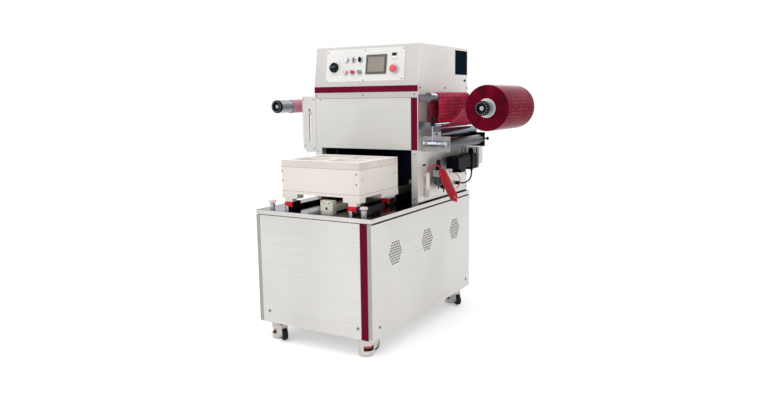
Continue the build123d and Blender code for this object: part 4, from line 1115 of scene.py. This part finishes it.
dress("unwind_shaft", shaft_silver, 0)
dress("rewind_shaft", shaft_silver, 0)
shaft_nose("unwind", UNWIND, 543, "unwind")
shaft_nose("rewind", REWIND, 493, "rewind")


def waste_wrap():
    """Waste film on the rewinding shaft: a wrinkled tube of radius
    r0 + a sin(3 angle + 0.05 y) + b sin(7 angle - 0.03 y)."""
    rings = 60
    count = 96
    depth = np.linspace(FILM_FRONT, FILM_BACK, rings)
    angle = np.linspace(0, FULL_TURN, count, endpoint=False)
    along, around = np.meshgrid(depth, angle, indexing="ij")
    radius = MANDREL + 1.7 + 0.7 * np.sin(3 * around + 0.05 * along) + 0.4 * np.sin(7 * around - 0.03 * along)
    points = above(REWIND[0] + radius * np.cos(around), along, REWIND[1] + radius * np.sin(around))
    uv = around_map(np.arange(rings) / (rings - 1) * 0.405, count)
    faces = grid_faces(rings, count, True)
    wrap = new_piece("waste_wrap", points.reshape(-1, 3), faces, film_waste, "rewind", uv=uv, weld=1e-6)
    thicken(wrap, 0.0008)
    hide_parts("waste_film")


waste_wrap()

# Bars as X, height over the table and radius. SLACK is the point that bends the film's slack run
WRAP_LIFT = 1.3
LOW_BAR = (415, 418, 12.5)
TOP_BAR = (380, 564, 24)
ROLL_REACH = 117.5 + WRAP_LIFT
PLY_REACH = 18
LEAVE_ROLL = math.radians(158)
MEET_BAR = math.radians(302)
SLACK = (524, 452)
SLOT_HEIGHT = 414


def arc(centre, radius, first, last, count):
    """Points on a circle in X and height from one angle to another, in degrees."""
    angle = np.radians(np.linspace(first, last, count))
    return np.stack((centre[0] + radius * np.cos(angle), centre[1] + radius * np.sin(angle)), -1)


def line(first, last, count):
    """Points on a straight run, ends left out."""
    share = np.linspace(0, 1, count + 2)[1:-1, None]
    return np.asarray(first) * (1 - share) + np.asarray(last) * share


def web_path():
    """The film's path in X and height: off the roll, a slack run (a quadratic curve, start (1 - t)^2 +
    2 slack t (1 - t) + end t^2), round the low bar, up, over the top bar and down to the slot in the wall."""
    low = LOW_BAR[2] + WRAP_LIFT
    start = np.array(UNWIND) + ROLL_REACH * np.array((math.cos(LEAVE_ROLL), math.sin(LEAVE_ROLL)))
    under = np.array(LOW_BAR[:2]) + low * np.array((math.cos(MEET_BAR), math.sin(MEET_BAR)))
    share = np.linspace(0, 1, 26)[:-1, None]
    run = start * (1 - share) ** 2 + np.array(SLACK) * 2 * share * (1 - share) + under * share**2
    top = TOP_BAR[2] + WRAP_LIFT
    parts = [run, arc(LOW_BAR, low, math.degrees(MEET_BAR), 180, 12)]
    left = (LOW_BAR[0] - low, LOW_BAR[1])
    right = (TOP_BAR[0] + top, TOP_BAR[1])
    inner = (TOP_BAR[0] - top, TOP_BAR[1])
    bend = (HALF_HEAD, SLOT_HEIGHT + PLY_REACH)
    bend_start = (HALF_HEAD + PLY_REACH, SLOT_HEIGHT + PLY_REACH)
    parts += [line(left, right, 16), arc(TOP_BAR, top, 0, 180, 22), line(inner, bend_start, 16)]
    parts.append(arc(bend, PLY_REACH, 0, -90, 8))
    parts.append(line((HALF_HEAD, SLOT_HEIGHT), (HALF_HEAD - 6, SLOT_HEIGHT), 1))
    return np.vstack(parts)


def film_web():
    """Thin film: the path carried along Y, with a slight flutter of the free edges, sin waves that fade
    inwards by exp(-10 d)."""
    path = web_path()
    count = 42
    share = np.linspace(0, 1, len(path))
    rows, columns = np.meshgrid(share, np.linspace(0, 1, count), indexing="ij")
    fade = 1.6 * np.exp(-10 * np.minimum(columns, 1 - columns))
    flutter = fade * np.sin(rows * 46) * np.sin(rows * math.pi)
    x = path[:, :1] + np.maximum(flutter, -0.6)
    y = FILM_FRONT + (FILM_BACK - FILM_FRONT) * columns
    points = above(x, y, path[:, 1:]).reshape(-1, 3)
    faces = grid_faces(len(path), count)
    length = run_lengths(path) / 1000
    along = np.broadcast_to(length[:, None], y.shape)
    uv_points = np.stack(((y - FILM_FRONT) / 1000, along), -1).reshape(-1, 2)
    web = new_piece("film_run", points, faces, film_print, "root", uv=uv_points[faces.ravel()], weld=0)
    thicken(web, 0.0003, 0)
    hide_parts("film_web")


film_web()

guide_low, guide_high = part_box("film_guides")
ARM = 0.0085


def arm_faces(centres, normals):
    """1 on the arms at both ends of the bars, 8 mm thick along Y."""
    front = centres[:, 1] < guide_low[1] + ARM
    back = centres[:, 1] > guide_high[1] - ARM
    return (front | back).astype(int)


dress("film_guides", [chrome, arm_metal], 0.5, arm_faces)
dress("feed_roller", dark_roller, 0.8)
dress("guide_roller", roller_steel, 0.8)
dress("tension_roller", aluminium, 0.5)

LEVER_HEIGHT = 323
LEVER_KNOB = 91
dress(
    "clamp_lever",
    [chrome, black_plastic],
    0.5,
    lambda centres, normals: centres[:, 2] * 1000 > TABLE + LEVER_HEIGHT + LEVER_KNOB,
)
bolt_head = [(0, 0), (4.5, 0), (4.5, 14), (9, 14), (10, 15), (10, 21), (8.5, 23), (0, 23)]
turned_piece("nip_bolt", bolt_head, 24, (1, 0, 0), above(495.8, 1034, 325), black_plastic)
washer = [(9.5, 0), (15, 0), (15, 3), (9.5, 3), (9.5, 0)]
turned_piece("lever_washer", washer, 40, (-1, 0, 0), above(379, 514, LEVER_HEIGHT), black_plastic)
dress("gearmotor", black_paint, 1.2)


def fitting_faces(centres, normals):
    """Silver regulator body, smoked bowls, black knob, pale meter tube in a silver holder, black gland,
    grey ports."""
    x, y, height = in_drawing(centres)
    height = height - TABLE
    numbers = np.zeros(len(centres))
    regulator = (y > 650) & (y < 790)
    numbers[regulator & (height < 134.9)] = 1
    numbers[regulator & (y > 732) & (height < 134.9)] = 2
    numbers[regulator & (height > 169)] = 2
    meter = np.hypot(x - METER_X, y - METER_Y) < 11.4
    numbers[meter & (height > 73) & (height < 146)] = 3
    numbers[y > 985] = 2
    return numbers


dress("air_fittings", [aluminium, smoke_bowl, black_plastic, tube_glass], 0.6, fitting_faces)


# Floor, light and background


def add_stage():
    """Pale floor, a white world that only seen and mirrored rays meet at full strength, and soft lamps."""
    floor = add_object("floor", bpy.data.meshes.new("floor"))
    span = 40
    corners = [(-span, -span, 0), (span, -span, 0), (span, span, 0), (-span, span, 0)]
    floor.data.from_pydata(corners, [], [(0, 1, 2, 3)])
    finish = Finish("pale_floor")
    speck = finish.noise((3, 3, 3))
    finish.set(Base_Color=finish.mix(speck, linear(247, 247, 247), linear(252, 252, 252)), Roughness=0.75)
    finish.set(Emission_Color=(1, 1, 1, 1))
    path = finish.node("ShaderNodeLightPath")
    seen = path.outputs["Is Camera Ray"]
    for kind in ("Is Transmission Ray", "Is Glossy Ray"):
        seen = finish.sums("MAXIMUM", seen, path.outputs[kind])
    finish.set(Emission_Strength=finish.sums("MULTIPLY", seen, 0.3))
    floor.data.materials.append(finish.material)

    world = bpy.data.worlds.new("studio")
    bpy.context.scene.world = world
    world.use_nodes = True
    tree = world.node_tree
    background = tree.nodes["Background"]
    background.inputs["Color"].default_value = (1, 1, 1, 1)
    rays = tree.nodes.new("ShaderNodeLightPath")
    seen = rays.outputs["Is Camera Ray"]
    for kind in ("Is Transmission Ray", "Is Glossy Ray"):
        greater = tree.nodes.new("ShaderNodeMath")
        greater.operation = "MAXIMUM"
        tree.links.new(seen, greater.inputs[0])
        tree.links.new(rays.outputs[kind], greater.inputs[1])
        seen = greater.outputs[0]
    strength = tree.nodes.new("ShaderNodeMapRange")
    strength.inputs["To Min"].default_value = 0.72
    strength.inputs["To Max"].default_value = 1.0
    tree.links.new(seen, strength.inputs["Value"])
    tree.links.new(strength.outputs["Result"], background.inputs["Strength"])

    lamps = {
        "key_lamp": ((-2.0, -3.6, 3.8), 4.5, 55),
        "side_lamp": ((3.8, -1.6, 2.4), 3.0, 11),
        "top_lamp": ((0.2, -0.6, 4.4), 3.6, 34),
        "back_lamp": ((0.5, 4.4, 3.0), 3.4, 24),
    }
    for name, (place, size, power) in lamps.items():
        data = bpy.data.lights.new(name, "AREA")
        data.shape = "SQUARE"
        data.size = size
        data.energy = power
        lamp = add_object(name, data)
        lamp.location = place
        aim = Vector((0, 0, 0.8)) - Vector(place)
        lamp.rotation_euler = aim.to_track_quat("-Z", "Y").to_euler()


add_stage()
bpy.context.scene.view_settings.view_transform = "Standard"
